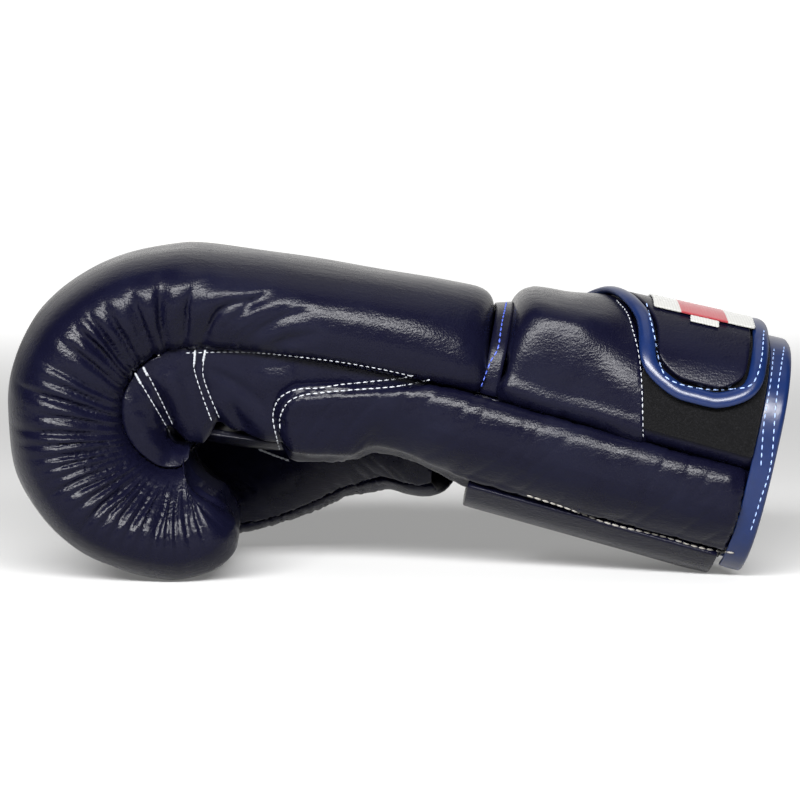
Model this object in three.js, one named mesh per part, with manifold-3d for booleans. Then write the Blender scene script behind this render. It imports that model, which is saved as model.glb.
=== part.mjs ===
// A left-hand boxing glove of navy leather over foam: the padded mitt curls round to the fingertips, a thumb
// lies beside it, and a padded cuff is closed by a tapered hook-and-loop strap.
// Millimetres. +X runs towards the cuff, +Z is up (the back of the hand), -Y is the little-finger side and
// +Y the thumb side. The glove stands palm down on the underside of the fist and on the strap.
import * as THREE from "three";
import { mergeVertices } from "three/addons/utils/BufferGeometryUtils.js";
import Module from "manifold-3d";

const wasm = await Module();
wasm.setup();

// Fist and hand
const FIST_RADIUS = 80; // from the crook that the fingers curl round to the outside of the fist
const FIST_WIDTH = 132;
const HAND_LENGTH = 112; // crook to wrist, along the palm
const HAND_DROP = 28; // how far the wrist lies below the crook
const CROOK_RADIUS = 3.5; // the fold of the palm leather inside the curled fingers
const FINGER_ROOM = 29.5; // height of the hand chamber below the side seam, at the knuckles
const ROOF_RISE = 5; // how far the chamber reaches into the back padding
// Cuff
const CUFF_LENGTH = 124;
const CUFF_HEIGHT = 102;
const CUFF_WIDTH = 98;
const CUFF_TILT = 12.5; // degrees that the forearm slopes down from the hand
const CUFF_SPREAD = 3.1; // degrees more on the underside, because the cuff widens
const SEAM_HEIGHT = 46.5; // side seam of the cuff above its underside
const BACK_FOAM = 15; // foam over the back of the wrist
const SIDE_FOAM = 9; // foam roll along the little-finger side
// Leather, gaps and trim
const WALL = 3; // leather with its backing
const GAP = 0.3; // between two pieces that are sewn face to face
const SEAM_GAP = 0.6; // along the long seams under the back padding
const HEM = 1; // how far the back padding overhangs the side panels at their seam
const WRIST_GROOVE = 7.5; // flat seam between the hand padding and the cuff
const EDGE_ROLL = 9; // radius that the padding rolls over with at its ends
const CUFF_ROLL = 6;
const ROLL_STEPS = [0, 0.15, 0.5]; // shares of such a radius where it needs a section
const PAD_ROLL = 5; // the same for the long edges of the foam rolls on the cuff
const PAD_END_ROLL = 3;
const PAD_CORNER = 13; // rounded front corner of the little-finger roll
const THUMB_PAD_ROOM = 4; // from the wrist to the front end of the thumb-side roll
const TONGUE_THICKNESS = 3;
// Strap and trim
const STRAP_WIDTH = 108; // at its sewn end
const STRAP_THICKNESS = 3.2;
const STRAP_CORNER = 17;
const TAPE_THICKNESS = 1.6;
const TAPE_LENGTH = 51; // along the forearm
const PIPING_WIDTH = 7.5;
const PIPING_THICKNESS = 4.2;
const PIPING_ROOM = 3 * GAP; // between the piping and the edge of the strap's leather
const BINDING_WIDTH = 8;
const BINDING_THICKNESS = 1.6;
const LIP_ROOM = 1.4; // between the binding's inner lip and the lining
const LABEL_LENGTH = 43; // along the forearm
const LABEL_OFFSET = 2; // from the middle of the strap towards the cuff's end
const LABEL_THICKNESS = 0.8;
const TAG_WIDTH = 12;
const TAG_LENGTH = 4.6;
const TAG_THICKNESS = 0.5;
// Thumb
const THUMB_RADIUS = 25;
const THUMB_REACH = 168; // root to tip, along the hand
const THUMB_WALL = 9;
const TRIM_ROOM = 2 * GAP; // between the hand and what is cut to its shape
const TRIM_PAST_WRIST = 20; // how far the cut runs on over the cuff
// The flat places that the glove stands on, below the crook
const STANDING_HEIGHT = 60.6;

// Gathers
const GATHERS = 28; // on each side of the fist
const GATHER_DEPTH = 3.2;
const FOLD_REACH = 0.62; // share of the way from the seam to the crown that the longest fold takes
const FOLD_AT_SEAM = 0.4; // share of its depth that a fold has at the seam
const FOLD_DEEPEST = 0.2; // share of its reach where it is deepest
const FOLD_FADE = 0.7; // exponent with which it runs out
const FOLD_CYCLE = [
  // one gather after another, repeated: depth and reach are shares of the largest, shift a share of the pitch
  { depth: 1.0, reach: 0.96, shift: 0.0 },
  { depth: 0.72, reach: 0.74, shift: 0.1 },
  { depth: 0.9, reach: 1.0, shift: -0.08 },
  { depth: 0.6, reach: 0.66, shift: 0.06 },
  { depth: 1.0, reach: 0.88, shift: -0.04 },
  { depth: 0.8, reach: 0.78, shift: 0.12 },
  { depth: 0.95, reach: 0.92, shift: -0.1 },
];

// Sections of the curled fingers, as half-planes hinged on the crook. turn is in degrees from +X towards +Z.
// crown is a share of FIST_RADIUS, seam of FINGER_ROOM, and the half widths are shares of half FIST_WIDTH.
const CURL_ROWS = [
  { turn: 90, crown: 0.998, seam: 1.0, room: 0.667, little: 1.0, thumb: 0.93 },
  { turn: 115, crown: 1.0, seam: 0.94, room: 0.66, little: 1.01, thumb: 0.93 },
  { turn: 140, crown: 1.018, seam: 0.8, room: 0.65, little: 1.01, thumb: 0.91 },
  { turn: 165, crown: 0.985, seam: 0.645, room: 0.635, little: 1.0, thumb: 0.87 },
  { turn: 190, crown: 0.94, seam: 0.495, room: 0.6, little: 0.985, thumb: 0.8 },
  { turn: 215, crown: 0.863, seam: 0.39, room: 0.56, little: 0.955, thumb: 0.74 },
  { turn: 240, crown: 0.79, seam: 0.33, room: 0.52, little: 0.91, thumb: 0.69 },
  { turn: 265, crown: 0.776, seam: 0.26, room: 0.49, little: 0.87, thumb: 0.66 },
  { turn: 280, crown: 0.752, seam: 0.16, room: 0.46, little: 0.83, thumb: 0.64 },
];
// The rounded end of the padding under the fingertips: the seam stays at one turn while the crown comes back.
const TIP_TURN = 291;
const TIP_ROWS = [
  { turn: 290, crown: 0.715, seam: 0.03, room: 0.44, little: 0.78, thumb: 0.62 },
  { turn: 295.5, crown: 0.63, seam: 0.024, room: 0.425, little: 0.7, thumb: 0.57 },
  { turn: 299, crown: 0.49, seam: 0.018, room: 0.41, little: 0.6, thumb: 0.53 },
  { turn: 299.5, crown: 0.34, seam: 0.012, room: 0.4, little: 0.53, thumb: 0.49 },
  { turn: 296, crown: 0.2, seam: 0.006, room: 0.39, little: 0.48, thumb: 0.46 },
];
// Sections of the straight part of the hand. along is a share of HAND_LENGTH from the crook, up a share of
// FIST_RADIUS above it, depth a share of FINGER_ROOM, roof a multiple of ROOF_RISE.
const HAND_ROWS = [
  { name: "heel", seamAlong: 0.86, seamUp: 0.3, crownAlong: 0.93, crownUp: 0.81,
    depth: 0.97, roof: 2.6, room: 0.6, little: 0.83, thumb: 0.83 },
  { name: "palm", seamAlong: 0.45, seamUp: 0.413, crownAlong: 0.485, crownUp: 0.915,
    depth: 1.17, roof: 1.2, room: 0.65, little: 0.92, thumb: 0.89 },
  { name: "hand", seamAlong: 0.16, seamUp: 0.45, crownAlong: 0.175, crownUp: 0.978,
    depth: 1.1, roof: 1.0, room: 0.667, little: 0.98, thumb: 0.92 },
];
// Sections of the cuff. along is a share of CUFF_LENGTH from the wrist, crown a share of CUFF_HEIGHT, side a
// share of half CUFF_WIDTH.
const CUFF_ROWS = [
  { name: "cuffEnd", along: 1.0, crown: 1.0, side: 1.0 },
  { name: "cuffBack", along: 0.7, crown: 0.98, side: 1.01 },
  { name: "cuffMiddle", along: 0.38, crown: 0.96, side: 1.01 },
  { name: "cuffFront", along: 0.13, crown: 0.945, side: 1.01 },
  { name: "wrist", along: 0.0, crown: 0.885, side: 1.01 },
];

const BELLY_FIST = 0.42; // height of the widest point of the padding, as a share of its depth
const BELLY_CUFF = 0.22;
const SQUARE = 0.8; // exponent of the chamber's rounded-square sections
const CROWN_SQUARE = 0.86;

const rad = THREE.MathUtils.degToRad;
const lerp = THREE.MathUtils.lerp;
const clamp = THREE.MathUtils.clamp;
const ROUNDING = 1e-9;
const STEEPEST = 3; // times the mean rise: a steeper curve would overshoot
const ROOF_FADE = 3; // the roof of the chamber comes down with the last third of its depth
const curved = (x, power) => Math.sign(x) * Math.abs(x) ** power;

// A point of the side view, turned by an angle and measured from a foot.
const polar = (angle, radius) => [radius * Math.cos(angle), radius * Math.sin(angle)];
const plus = (p, q) => [p[0] + q[0], p[1] + q[1]];

function cuffSection(row) {
  const slope = rad(-CUFF_TILT - CUFF_SPREAD);
  const foot = plus([HAND_LENGTH, -HAND_DROP], polar(slope, row.along * CUFF_LENGTH));
  const lean = rad(90 - CUFF_TILT);
  const side = (row.side * CUFF_WIDTH) / 2;
  return {
    name: row.name,
    seam: plus(foot, polar(lean, SEAM_HEIGHT)),
    crown: plus(foot, polar(lean, row.crown * CUFF_HEIGHT)),
    lean,
    room: side - SIDE_FOAM - WALL - GAP,
    roof: row.crown * CUFF_HEIGHT - SEAM_HEIGHT - BACK_FOAM - WALL - GAP,
    depth: SEAM_HEIGHT - SIDE_FOAM - WALL - GAP,
    little: side,
    thumb: side,
    belly: BELLY_CUFF,
  };
}

function handSection(row) {
  const seam = [row.seamAlong * HAND_LENGTH, row.seamUp * FIST_RADIUS];
  const crown = [row.crownAlong * HAND_LENGTH, row.crownUp * FIST_RADIUS];
  return {
    name: row.name,
    seam,
    crown,
    lean: Math.atan2(crown[1] - seam[1], crown[0] - seam[0]),
    room: (row.room * FIST_WIDTH) / 2,
    roof: row.roof * ROOF_RISE,
    depth: row.depth * FINGER_ROOM,
    little: (row.little * FIST_WIDTH) / 2,
    thumb: (row.thumb * FIST_WIDTH) / 2,
    belly: BELLY_FIST,
  };
}

function curlSection(row, seamTurn) {
  const depth = row.seam * FINGER_ROOM;
  const lean = rad(seamTurn);
  return {
    name: "turn" + row.turn,
    seam: polar(lean, CROOK_RADIUS + WALL + depth),
    crown: polar(rad(row.turn), row.crown * FIST_RADIUS),
    lean,
    room: (row.room * FIST_WIDTH) / 2,
    roof: ROOF_RISE * Math.min(1, row.seam * ROOF_FADE),
    depth,
    little: (row.little * FIST_WIDTH) / 2,
    thumb: (row.thumb * FIST_WIDTH) / 2,
    belly: BELLY_FIST,
  };
}

// All sections from the cuff's end to the fingertips, each at its distance along the glove.
const sections = [
  ...CUFF_ROWS.map(cuffSection),
  ...HAND_ROWS.map(handSection),
  ...CURL_ROWS.map((row) => curlSection(row, row.turn)),
  ...TIP_ROWS.map((row) => curlSection(row, TIP_TURN)),
];
sections.forEach((section, i) => {
  const before = sections[i - 1];
  const step = before
    ? Math.hypot(section.crown[0] - before.crown[0], section.crown[1] - before.crown[1]) / 2 +
      Math.hypot(section.seam[0] - before.seam[0], section.seam[1] - before.seam[1]) / 2
    : 0;
  section.station = (before ? before.station : 0) + step;
});
const stationOf = (name) => sections.find((section) => section.name === name).station;
const END_STATION = sections.at(-1).station;

// A smooth value between the sections, through each of them.
function smooth(read, station) {
  const last = sections.length - 1;
  let i = sections.findIndex((section) => section.station > station) - 1;
  if (i < 0) i = last - 1;
  const at = (k) => sections[clamp(k, 0, last)];
  const slope = (k) => {
    const a = at(k - 1);
    const b = at(k + 1);
    return (read(b) - read(a)) / (b.station - a.station);
  };
  const span = at(i + 1).station - at(i).station;
  const t = clamp((station - at(i).station) / span, 0, 1);
  const rise = (read(at(i + 1)) - read(at(i))) / span;
  const held = (k) => clamp(slope(k), Math.min(0, STEEPEST * rise), Math.max(0, STEEPEST * rise));
  const h = t * t * (3 - 2 * t);
  return (
    lerp(read(at(i)), read(at(i + 1)), h) +
    span * held(i) * t * (1 - t) * (1 - t) -
    span * held(i + 1) * t * t * (1 - t)
  );
}

const known = new Map();
function sectionAt(station) {
  if (!known.has(station)) known.set(station, measureSection(station));
  return known.get(station);
}
function measureSection(station) {
  const value = (read) => smooth(read, station);
  return {
    seam: [value((s) => s.seam[0]), value((s) => s.seam[1])],
    crown: [value((s) => s.crown[0]), value((s) => s.crown[1])],
    lean: value((s) => s.lean),
    room: value((s) => s.room),
    roof: value((s) => s.roof),
    depth: value((s) => s.depth),
    little: value((s) => s.little),
    thumb: value((s) => s.thumb),
    belly: value((s) => s.belly),
  };
}

// A point on the layer at a distance outside the hand chamber. angle is 0 on the thumb side at seam level,
// 90 degrees at the roof, 180 on the little-finger side and 270 at the palm. drop lowers the start of the
// palm half, so that it clears what lies above the seam.
function layer(section, angle, distance, drop = 0) {
  const c = Math.cos(angle);
  const s = Math.sin(angle);
  const y = (section.room + distance) * curved(c, SQUARE);
  const up =
    s > ROUNDING
      ? (section.roof + distance) * curved(s, SQUARE)
      : -(drop + (section.depth + distance - drop) * curved(Math.max(-s, 0), SQUARE));
  const [x, z] = plus(section.seam, polar(section.lean, up));
  return new THREE.Vector3(x, y, z);
}

// The outside of the padding over the back, from the thumb-side seam (across 0) to the other seam (across 1).
const UNDERCUT = 0.22;
function crownPoint(section, across, hem, press, lift = 0) {
  const share = 1 - Math.abs(2 * across - 1);
  const side = (across < 0.5 ? section.thumb : section.little) + lift;
  let y, up;
  if (share < UNDERCUT) {
    const a = ((share / UNDERCUT) * Math.PI) / 2;
    y = hem + (side - hem) * Math.sin(a);
    up = section.belly * (1 - Math.cos(a));
  } else {
    const a = (((share - UNDERCUT) / (1 - UNDERCUT)) * Math.PI) / 2;
    y = side * curved(Math.cos(a), CROWN_SQUARE);
    up = section.belly + (1 - section.belly) * curved(Math.sin(a), CROWN_SQUARE);
  }
  y -= press;
  const dx = section.crown[0] - section.seam[0];
  const dz = section.crown[1] - section.seam[1];
  const size = Math.hypot(dx, dz);
  const raise = up * (1 + lift / size);
  return new THREE.Vector3(
    section.seam[0] + dx * raise,
    Math.sign(0.5 - across) * Math.max(y, 0),
    section.seam[1] + dz * raise,
  );
}

// Turns a list of vertices and faces into a geometry whose faces point out.
function geometryOf(points, faces) {
  let volume = 0;
  for (const [a, b, c] of faces) {
    volume += points[a].dot(new THREE.Vector3().crossVectors(points[b], points[c]));
  }
  const index = faces.flatMap(([a, b, c]) => (volume < 0 ? [a, c, b] : [a, b, c]));
  return new THREE.BufferGeometry().setFromPoints(points).setIndex(index);
}

// A closed wall between an inner and an outer surface, each given over along 0..1 and across 0..1.
function wallBetween(rows, columns, outer, inner) {
  const points = [];
  const skins = [outer, inner].map((surface) =>
    rows.map((u) => columns.map((v) => points.push(surface(u, v)) - 1)),
  );
  const faces = [];
  const quad = (a, b, c, d) => faces.push([a, b, c], [a, c, d]);
  const [o, n] = skins;
  const R = rows.length - 1;
  const C = columns.length - 1;
  for (let i = 0; i < R; i++) {
    for (let j = 0; j < C; j++) {
      quad(o[i][j], o[i + 1][j], o[i + 1][j + 1], o[i][j + 1]);
      quad(n[i][j], n[i][j + 1], n[i + 1][j + 1], n[i + 1][j]);
    }
    quad(o[i][0], n[i][0], n[i + 1][0], o[i + 1][0]);
    quad(o[i][C], o[i + 1][C], n[i + 1][C], n[i][C]);
  }
  for (let j = 0; j < C; j++) {
    quad(o[0][j], o[0][j + 1], n[0][j + 1], n[0][j]);
    quad(o[R][j], n[R][j], n[R][j + 1], o[R][j + 1]);
  }
  return geometryOf(points, faces);
}
function evenSteps(count) {
  return Array.from({ length: count + 1 }, (_, i) => i / count);
}

// A closed body from rings of points, with a fan at each end to that ring's own middle.
function bodyOfRings(rings) {
  const points = rings.flat();
  const size = rings[0].length;
  const faces = [];
  for (let r = 0; r < rings.length - 1; r++) {
    for (let k = 0; k < size; k++) {
      const a = r * size + k;
      const b = r * size + ((k + 1) % size);
      faces.push([a, b, b + size], [a, b + size, a + size]);
    }
  }
  for (const r of [0, rings.length - 1]) {
    const middle = points.length;
    points.push(
      rings[r].reduce((sum, p) => sum.add(p), new THREE.Vector3()).divideScalar(size),
    );
    for (let k = 0; k < size; k++) {
      const a = r * size + k;
      const b = r * size + ((k + 1) % size);
      faces.push(r === 0 ? [middle, b, a] : [middle, a, b]);
    }
  }
  return geometryOf(points, faces);
}

// Exact cuts between two closed geometries.
function solidOf(geometry) {
  const bare = new THREE.BufferGeometry()
    .setAttribute("position", geometry.getAttribute("position"))
    .setIndex(geometry.index);
  const merged = mergeVertices(bare, 1e-4);
  return new wasm.Manifold(
    new wasm.Mesh({
      numProp: 3,
      vertProperties: merged.attributes.position.array,
      triVerts: new Uint32Array(merged.index.array),
    }),
  );
}
function geometryFrom(solid) {
  const mesh = solid.getMesh();
  return new THREE.BufferGeometry()
    .setAttribute("position", new THREE.BufferAttribute(mesh.vertProperties, 3))
    .setIndex(new THREE.BufferAttribute(mesh.triVerts, 1));
}
function cutBy(geometry, ...tools) {
  return geometryFrom(tools.reduce((left, tool) => left.subtract(solidOf(tool)), solidOf(geometry)));
}

// Materials, of which each mesh gets its own copy
const leather = new THREE.MeshStandardMaterial({ color: "#16182b", roughness: 0.34, metalness: 0 });
const binding = new THREE.MeshStandardMaterial({ color: "#12295f", roughness: 0.3, metalness: 0 });
const loopPile = new THREE.MeshStandardMaterial({ color: "#101011", roughness: 0.95, metalness: 0 });
const cloth = new THREE.MeshStandardMaterial({ color: "#d9dad8", roughness: 0.8, metalness: 0 });

const glove = new THREE.Group();
function addPiece(name, geometry, material) {
  const mesh = new THREE.Mesh(geometry, material.clone());
  mesh.name = name;
  glove.add(mesh);
}

// Gathers: where the leather of the fist is drawn in along its side seam.
const GATHER_LEAD = 0.3; // they start at this share of the way from the hand section to the knuckles
const LEAST_STEP = 0.2; // share of the pitch under which two stations would make slivers
const GATHER_START = lerp(stationOf("hand"), stationOf("turn90"), GATHER_LEAD);
const GATHER_PITCH = (END_STATION - GATHER_START) / GATHERS;
const folds = Array.from({ length: GATHERS }, (_, i) => {
  const fold = FOLD_CYCLE[i % FOLD_CYCLE.length];
  return { ...fold, station: GATHER_START + (i + 0.5 + fold.shift) * GATHER_PITCH };
});
function gatherPress(station, across) {
  const share = 1 - Math.abs(2 * across - 1);
  let press = 0;
  for (const fold of folds) {
    const off = Math.abs(station - fold.station) / (GATHER_PITCH / 2);
    const out = share / (FOLD_REACH * fold.reach);
    if (off >= 1 || out >= 1) continue;
    const start = lerp(FOLD_AT_SEAM, 1, Math.min(1, out / FOLD_DEEPEST));
    press = Math.max(press, GATHER_DEPTH * fold.depth * (1 - off) * start * (1 - out) ** FOLD_FADE);
  }
  return press;
}

// Falls from the full edge roll at an end of a piece to nothing further in.
function rollOff(distance, radius) {
  const t = clamp(1 - distance / radius, 0, 1);
  return radius * (1 - Math.sqrt(1 - t * t));
}

// Stations that all pieces share, so that facets lying on each other are parallel.
const GRID_STEP = 21; // where the glove is straight
const CURL_STEP = 11;
const STEP_ROOM = 1; // least distance from the end of a piece to such a station
const gridSteps = sections.slice(1).flatMap((section, i) => {
  const from = sections[i].station;
  const step = from < stationOf("hand") ? GRID_STEP : CURL_STEP;
  const count = Math.ceil((section.station - from) / step);
  return evenSteps(count)
    .slice(1)
    .map((u) => lerp(from, section.station, u));
});
function stationSteps(from, to, extra = []) {
  const inside = [...gridSteps, ...extra].filter((s) => s > from + STEP_ROOM && s < to - STEP_ROOM);
  return [from, ...inside.sort((a, b) => a - b), to];
}
// A wall between two surfaces given over stations and angles.
function wallOver(stations, angles, outer, inner) {
  const from = stations[0];
  const to = stations.at(-1);
  const start = angles[0];
  const end = angles.at(-1);
  return wallBetween(
    stations.map((s) => (s - from) / (to - from)),
    angles.map((a) => (a - start) / (end - start)),
    (u, v) => outer(lerp(from, to, u), lerp(start, end, v)),
    (u, v) => inner(lerp(from, to, u), lerp(start, end, v)),
  );
}
const FULL_TURN = 360;
const HALF_TURN = 180;
// An angle counted the same way from the other side of the glove.
const mirrored = (angle) => HALF_TURN - angle;

const WRIST = stationOf("wrist");
const HEEL = stationOf("heel");
const FINGER_END = stationOf("turn290");
const CUFF_EDGE = BINDING_THICKNESS + GAP; // the cuff's padding stops here, under its binding

const CROWN_COLUMNS = [0, 0.04, 0.1, 0.18, 0.27, 0.38];
const crownColumns = [...CROWN_COLUMNS, 0.5, ...CROWN_COLUMNS.map((v) => 1 - v).reverse()];

function backPadding() {
  const from = WRIST + GAP;
  const start = ROLL_STEPS.map((share) => from + share * EDGE_ROLL);
  const stations = [...start, ...stationSteps(from + EDGE_ROLL, GATHER_START)];
  for (const fold of folds) {
    const ridge = fold.station - GATHER_PITCH / 2;
    if (ridge - stations.at(-1) > GATHER_PITCH * LEAST_STEP) stations.push(ridge);
    stations.push(fold.station);
  }
  stations.push(END_STATION);
  const outer = (station, v) => {
    const section = sectionAt(station);
    const press = gatherPress(station, v);
    return crownPoint(section, v, section.room + WALL + HEM, press, -rollOff(station - from, EDGE_ROLL));
  };
  const inner = (station, v) => layer(sectionAt(station), v * Math.PI, 0);
  return wallOver(stations, crownColumns, outer, inner);
}

// Side panels and palm: one layer of leather round the chamber, cut at its corners.
const CORNER = 52; // degrees below the seam, where side panel and palm panel meet
const SIDE_COLUMNS = [0, 22, 40, CORNER];
const SEW_ANGLE = 0.5; // half the gap of that seam, in degrees
function sheetWall(from, to, angles) {
  const face = (distance) => (station, angle) => layer(sectionAt(station), rad(angle), distance, SEAM_GAP);
  return wallOver(stationSteps(from, to), angles, face(WALL), face(0));
}
function sidePanel(turnOf) {
  const angles = SIDE_COLUMNS.map((a) => turnOf(-Math.min(a, CORNER - SEW_ANGLE)));
  return sheetWall(CUFF_EDGE, FINGER_END, angles);
}
const thumbTurn = (angle) => angle + FULL_TURN;
const littleTurn = (angle) => mirrored(angle);
const PALM_COLUMNS = [64, 90, 116];
const PALM_LEAD = 0.4; // the palm leather starts at this share of the way from wrist to heel
function palmPanel() {
  const edge = CORNER + SEW_ANGLE;
  const angles = [edge, ...PALM_COLUMNS, HALF_TURN - edge].map((a) => HALF_TURN + a);
  return sheetWall(lerp(WRIST, HEEL, PALM_LEAD), FINGER_END, angles);
}
function palmTongue() {
  const angles = PALM_COLUMNS.map((a) => HALF_TURN + a);
  const face = (distance) => (station, angle) => layer(sectionAt(station), rad(angle), distance, GAP);
  const edge = CUFF_EDGE + BINDING_WIDTH;
  return wallOver(stationSteps(edge, HEEL), angles, face(-GAP), face(-GAP - TONGUE_THICKNESS));
}

// The outside of the cuff all round. turn is 0 at the thumb-side seam, 90 over the back, 180 at the other
// seam and 270 or -90 underneath; a short straight part above each seam bridges the hollow at the seam.
const STRAIGHT = 12;
function wrapPoint(section, turn, lift) {
  const below = turn < 0 || turn > HALF_TURN;
  if (below) return layer(section, rad(turn), WALL + GAP + SIDE_FOAM + lift);
  const far = turn > HALF_TURN / 2;
  const rise = far ? HALF_TURN - turn : turn;
  const climb = clamp((rise - STRAIGHT) / (HALF_TURN / 2 - STRAIGHT), 0, 1);
  const share = UNDERCUT + (1 - UNDERCUT) * climb;
  const across = far ? 1 - share / 2 : share / 2;
  const top = crownPoint(section, across, 0, 0, lift);
  if (rise >= STRAIGHT) return top;
  const seam = layer(section, rad(far ? HALF_TURN : 0), WALL + GAP + SIDE_FOAM + lift);
  return top.lerp(seam, 1 - rise / STRAIGHT);
}

// How far the strap's underside stands off the outside of the cuff: its sewn end lies flush with the
// little-finger pad, and its free end lies on the loop tape. The turns are degrees round the wrist.
const STRAP_START_TURN = -127;
const STRAP_FLUSH_TURN = -98; // from here on it lies on the cuff
const TAPE_START_TURN = 92;
const TAPE_END_TURN = 175;
const STRAP_END_TURN = 163;
const CLIMB_START_TURN = 74; // where the strap starts to climb onto the loop tape
const CLIMB_END_TURN = 91;
const smoothRise = THREE.MathUtils.smoothstep;
function strapLift(turn) {
  const sunk = -(STRAP_THICKNESS + GAP) * (1 - smoothRise(turn, STRAP_START_TURN, STRAP_FLUSH_TURN));
  const raised = (TAPE_THICKNESS + GAP) * smoothRise(turn, CLIMB_START_TURN, CLIMB_END_TURN);
  return GAP + sunk + raised;
}

// The rim under the cuff's binding is stepped down by the binding's thickness.
const rim = (station) => (station < CUFF_EDGE + BINDING_WIDTH ? BINDING_THICKNESS + GAP : 0);
const rimSteps = [CUFF_EDGE + BINDING_WIDTH - GAP, CUFF_EDGE + BINDING_WIDTH + GAP];

function cuffBack() {
  const to = WRIST - WRIST_GROOVE;
  const stations = stationSteps(CUFF_EDGE, to - CUFF_ROLL, rimSteps);
  stations.push(...ROLL_STEPS.map((share) => to - share * CUFF_ROLL).reverse());
  const outer = (station, v) => {
    const section = sectionAt(station);
    const lift = -rim(station) - rollOff(to - station, CUFF_ROLL);
    return crownPoint(section, v, section.room + WALL + HEM, 0, lift);
  };
  const inner = (station, v) => layer(sectionAt(station), v * Math.PI, 0);
  return wallOver(stations, crownColumns, outer, inner);
}

function wristSeamStrip() {
  const stations = [WRIST - WRIST_GROOVE + GAP, WRIST];
  const face = (lift) => (station, v) => {
    const section = sectionAt(station);
    return crownPoint(section, v, section.room + WALL + HEM, 0, lift);
  };
  return wallOver(stations, crownColumns, face(-EDGE_ROLL + WALL), face(-EDGE_ROLL));
}

// Foam rolls on the sides of the wrist. Their thickness falls towards every edge. Over the hand, the top edge
// of the little-finger roll leaves the seam and ends in a rounded corner.
const PAD_COLUMNS = [1, 4, 11, 24, 38, 46, 49.5, 53, 66];
const PAD_EDGE = 50; // the little-finger roll dips under the strap's sewn end from here
const PAD_DIP = 1.5; // degrees beyond that edge where the roll is drawn in most
const PAD_DESCENT = 12; // degrees that its top edge falls between the heel and its front end
const PAD_END_SHARE = 0.38; // how far past the palm section the roll ends, towards the hand section
const PAD_END = lerp(stationOf("palm"), stationOf("hand"), PAD_END_SHARE);
const PAD_FRONT_STEPS = [0.4, 0.12, 0]; // sections over the front roll, as shares of its radius
const HAND_THINNING = 0.15; // share of its thickness that the roll loses over the heel of the hand
const CHAMBER_DEGREE = 0.7; // millimetres along the side of the chamber for each degree
function padTop(station) {
  const fallen = PAD_DESCENT * clamp((station - HEEL) / (PAD_END - HEEL), 0, 1);
  return fallen + rollOff(PAD_END - station, PAD_CORNER) / CHAMBER_DEGREE;
}
function wristPad(from, to, turnOf, little) {
  const top = (station) => (little ? padTop(station) : 0);
  // A column's angle below the seam: the columns are drawn together under a lowered top edge.
  const place = (station, column) => column + top(station) * Math.max(0, 1 - column / PAD_EDGE);
  const thickness = (station, column) => {
    const hand = 1 - HAND_THINNING * smoothRise(station, WRIST, HEEL);
    const ends = rollOff(station - from, PAD_END_ROLL) + rollOff(to - station, EDGE_ROLL);
    const inside = (place(station, column) - top(station)) * CHAMBER_DEGREE;
    const outside = Math.abs(PAD_EDGE + PAD_DIP - column) * CHAMBER_DEGREE;
    const edges = rollOff(inside, PAD_ROLL) + (little ? rollOff(outside, PAD_END_ROLL) : 0);
    const sunk = little && column > PAD_EDGE;
    const dip = sunk ? Math.max(GAP - strapLift(littleTurn(-column) - FULL_TURN), 0) : 0;
    const full = SIDE_FOAM * hand - ends - (column > PAD_EDGE ? 0 : edges) - dip - rim(station);
    return Math.max(full, WALL / 2);
  };
  const skin = (distance) => (station, column) => {
    const angle = rad(turnOf(-place(station, column)));
    return layer(sectionAt(station), angle, WALL + GAP + distance(station, column), SEAM_GAP);
  };
  const stations = stationSteps(from, to - EDGE_ROLL, rimSteps);
  stations.push(...PAD_FRONT_STEPS.map((share) => to - share * EDGE_ROLL));
  return wallOver(stations, PAD_COLUMNS, skin(thickness), skin(() => 0));
}

// Thumb: sections across a curved axis. along is a share of THUMB_REACH from the root, rise, high and thick
// are shares of THUMB_RADIUS and out is a share of half FIST_WIDTH.
const THUMB_ROWS = [
  { along: 0.0, rise: -0.22, out: 0.28, high: 0.98, thick: 0.9 },
  { along: 0.16, rise: 0.0, out: 0.48, high: 1.05, thick: 0.9 },
  { along: 0.32, rise: -0.34, out: 0.7, high: 1.1, thick: 0.9 },
  { along: 0.52, rise: -0.96, out: 0.93, high: 1.12, thick: 0.86 },
  { along: 0.76, rise: -1.18, out: 1.0, high: 1.06, thick: 0.82 },
  { along: 1.0, rise: -1.3, out: 0.94, high: 0.92, thick: 0.76 },
];
const THUMB_ROOT = 1.0; // share of HAND_LENGTH from the crook
const THUMB_DOME = 0.78; // share of the axis where the rounded tip starts
const ROOT_ROLL = 0.06; // share of the axis over which the sewn root is drawn in
const ROOT_DRAW = 0.6;
const TIP_HOLE = 0.4;
const thumbAxis = new THREE.CatmullRomCurve3(
  THUMB_ROWS.map(
    (row) =>
      new THREE.Vector3(
        THUMB_ROOT * HAND_LENGTH - row.along * THUMB_REACH,
        (row.out * FIST_WIDTH) / 2,
        row.rise * THUMB_RADIUS,
      ),
  ),
);
const thumbRadii = new THREE.CatmullRomCurve3(
  THUMB_ROWS.map((row) => new THREE.Vector3(row.high, row.thick, 0).multiplyScalar(THUMB_RADIUS)),
);
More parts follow.
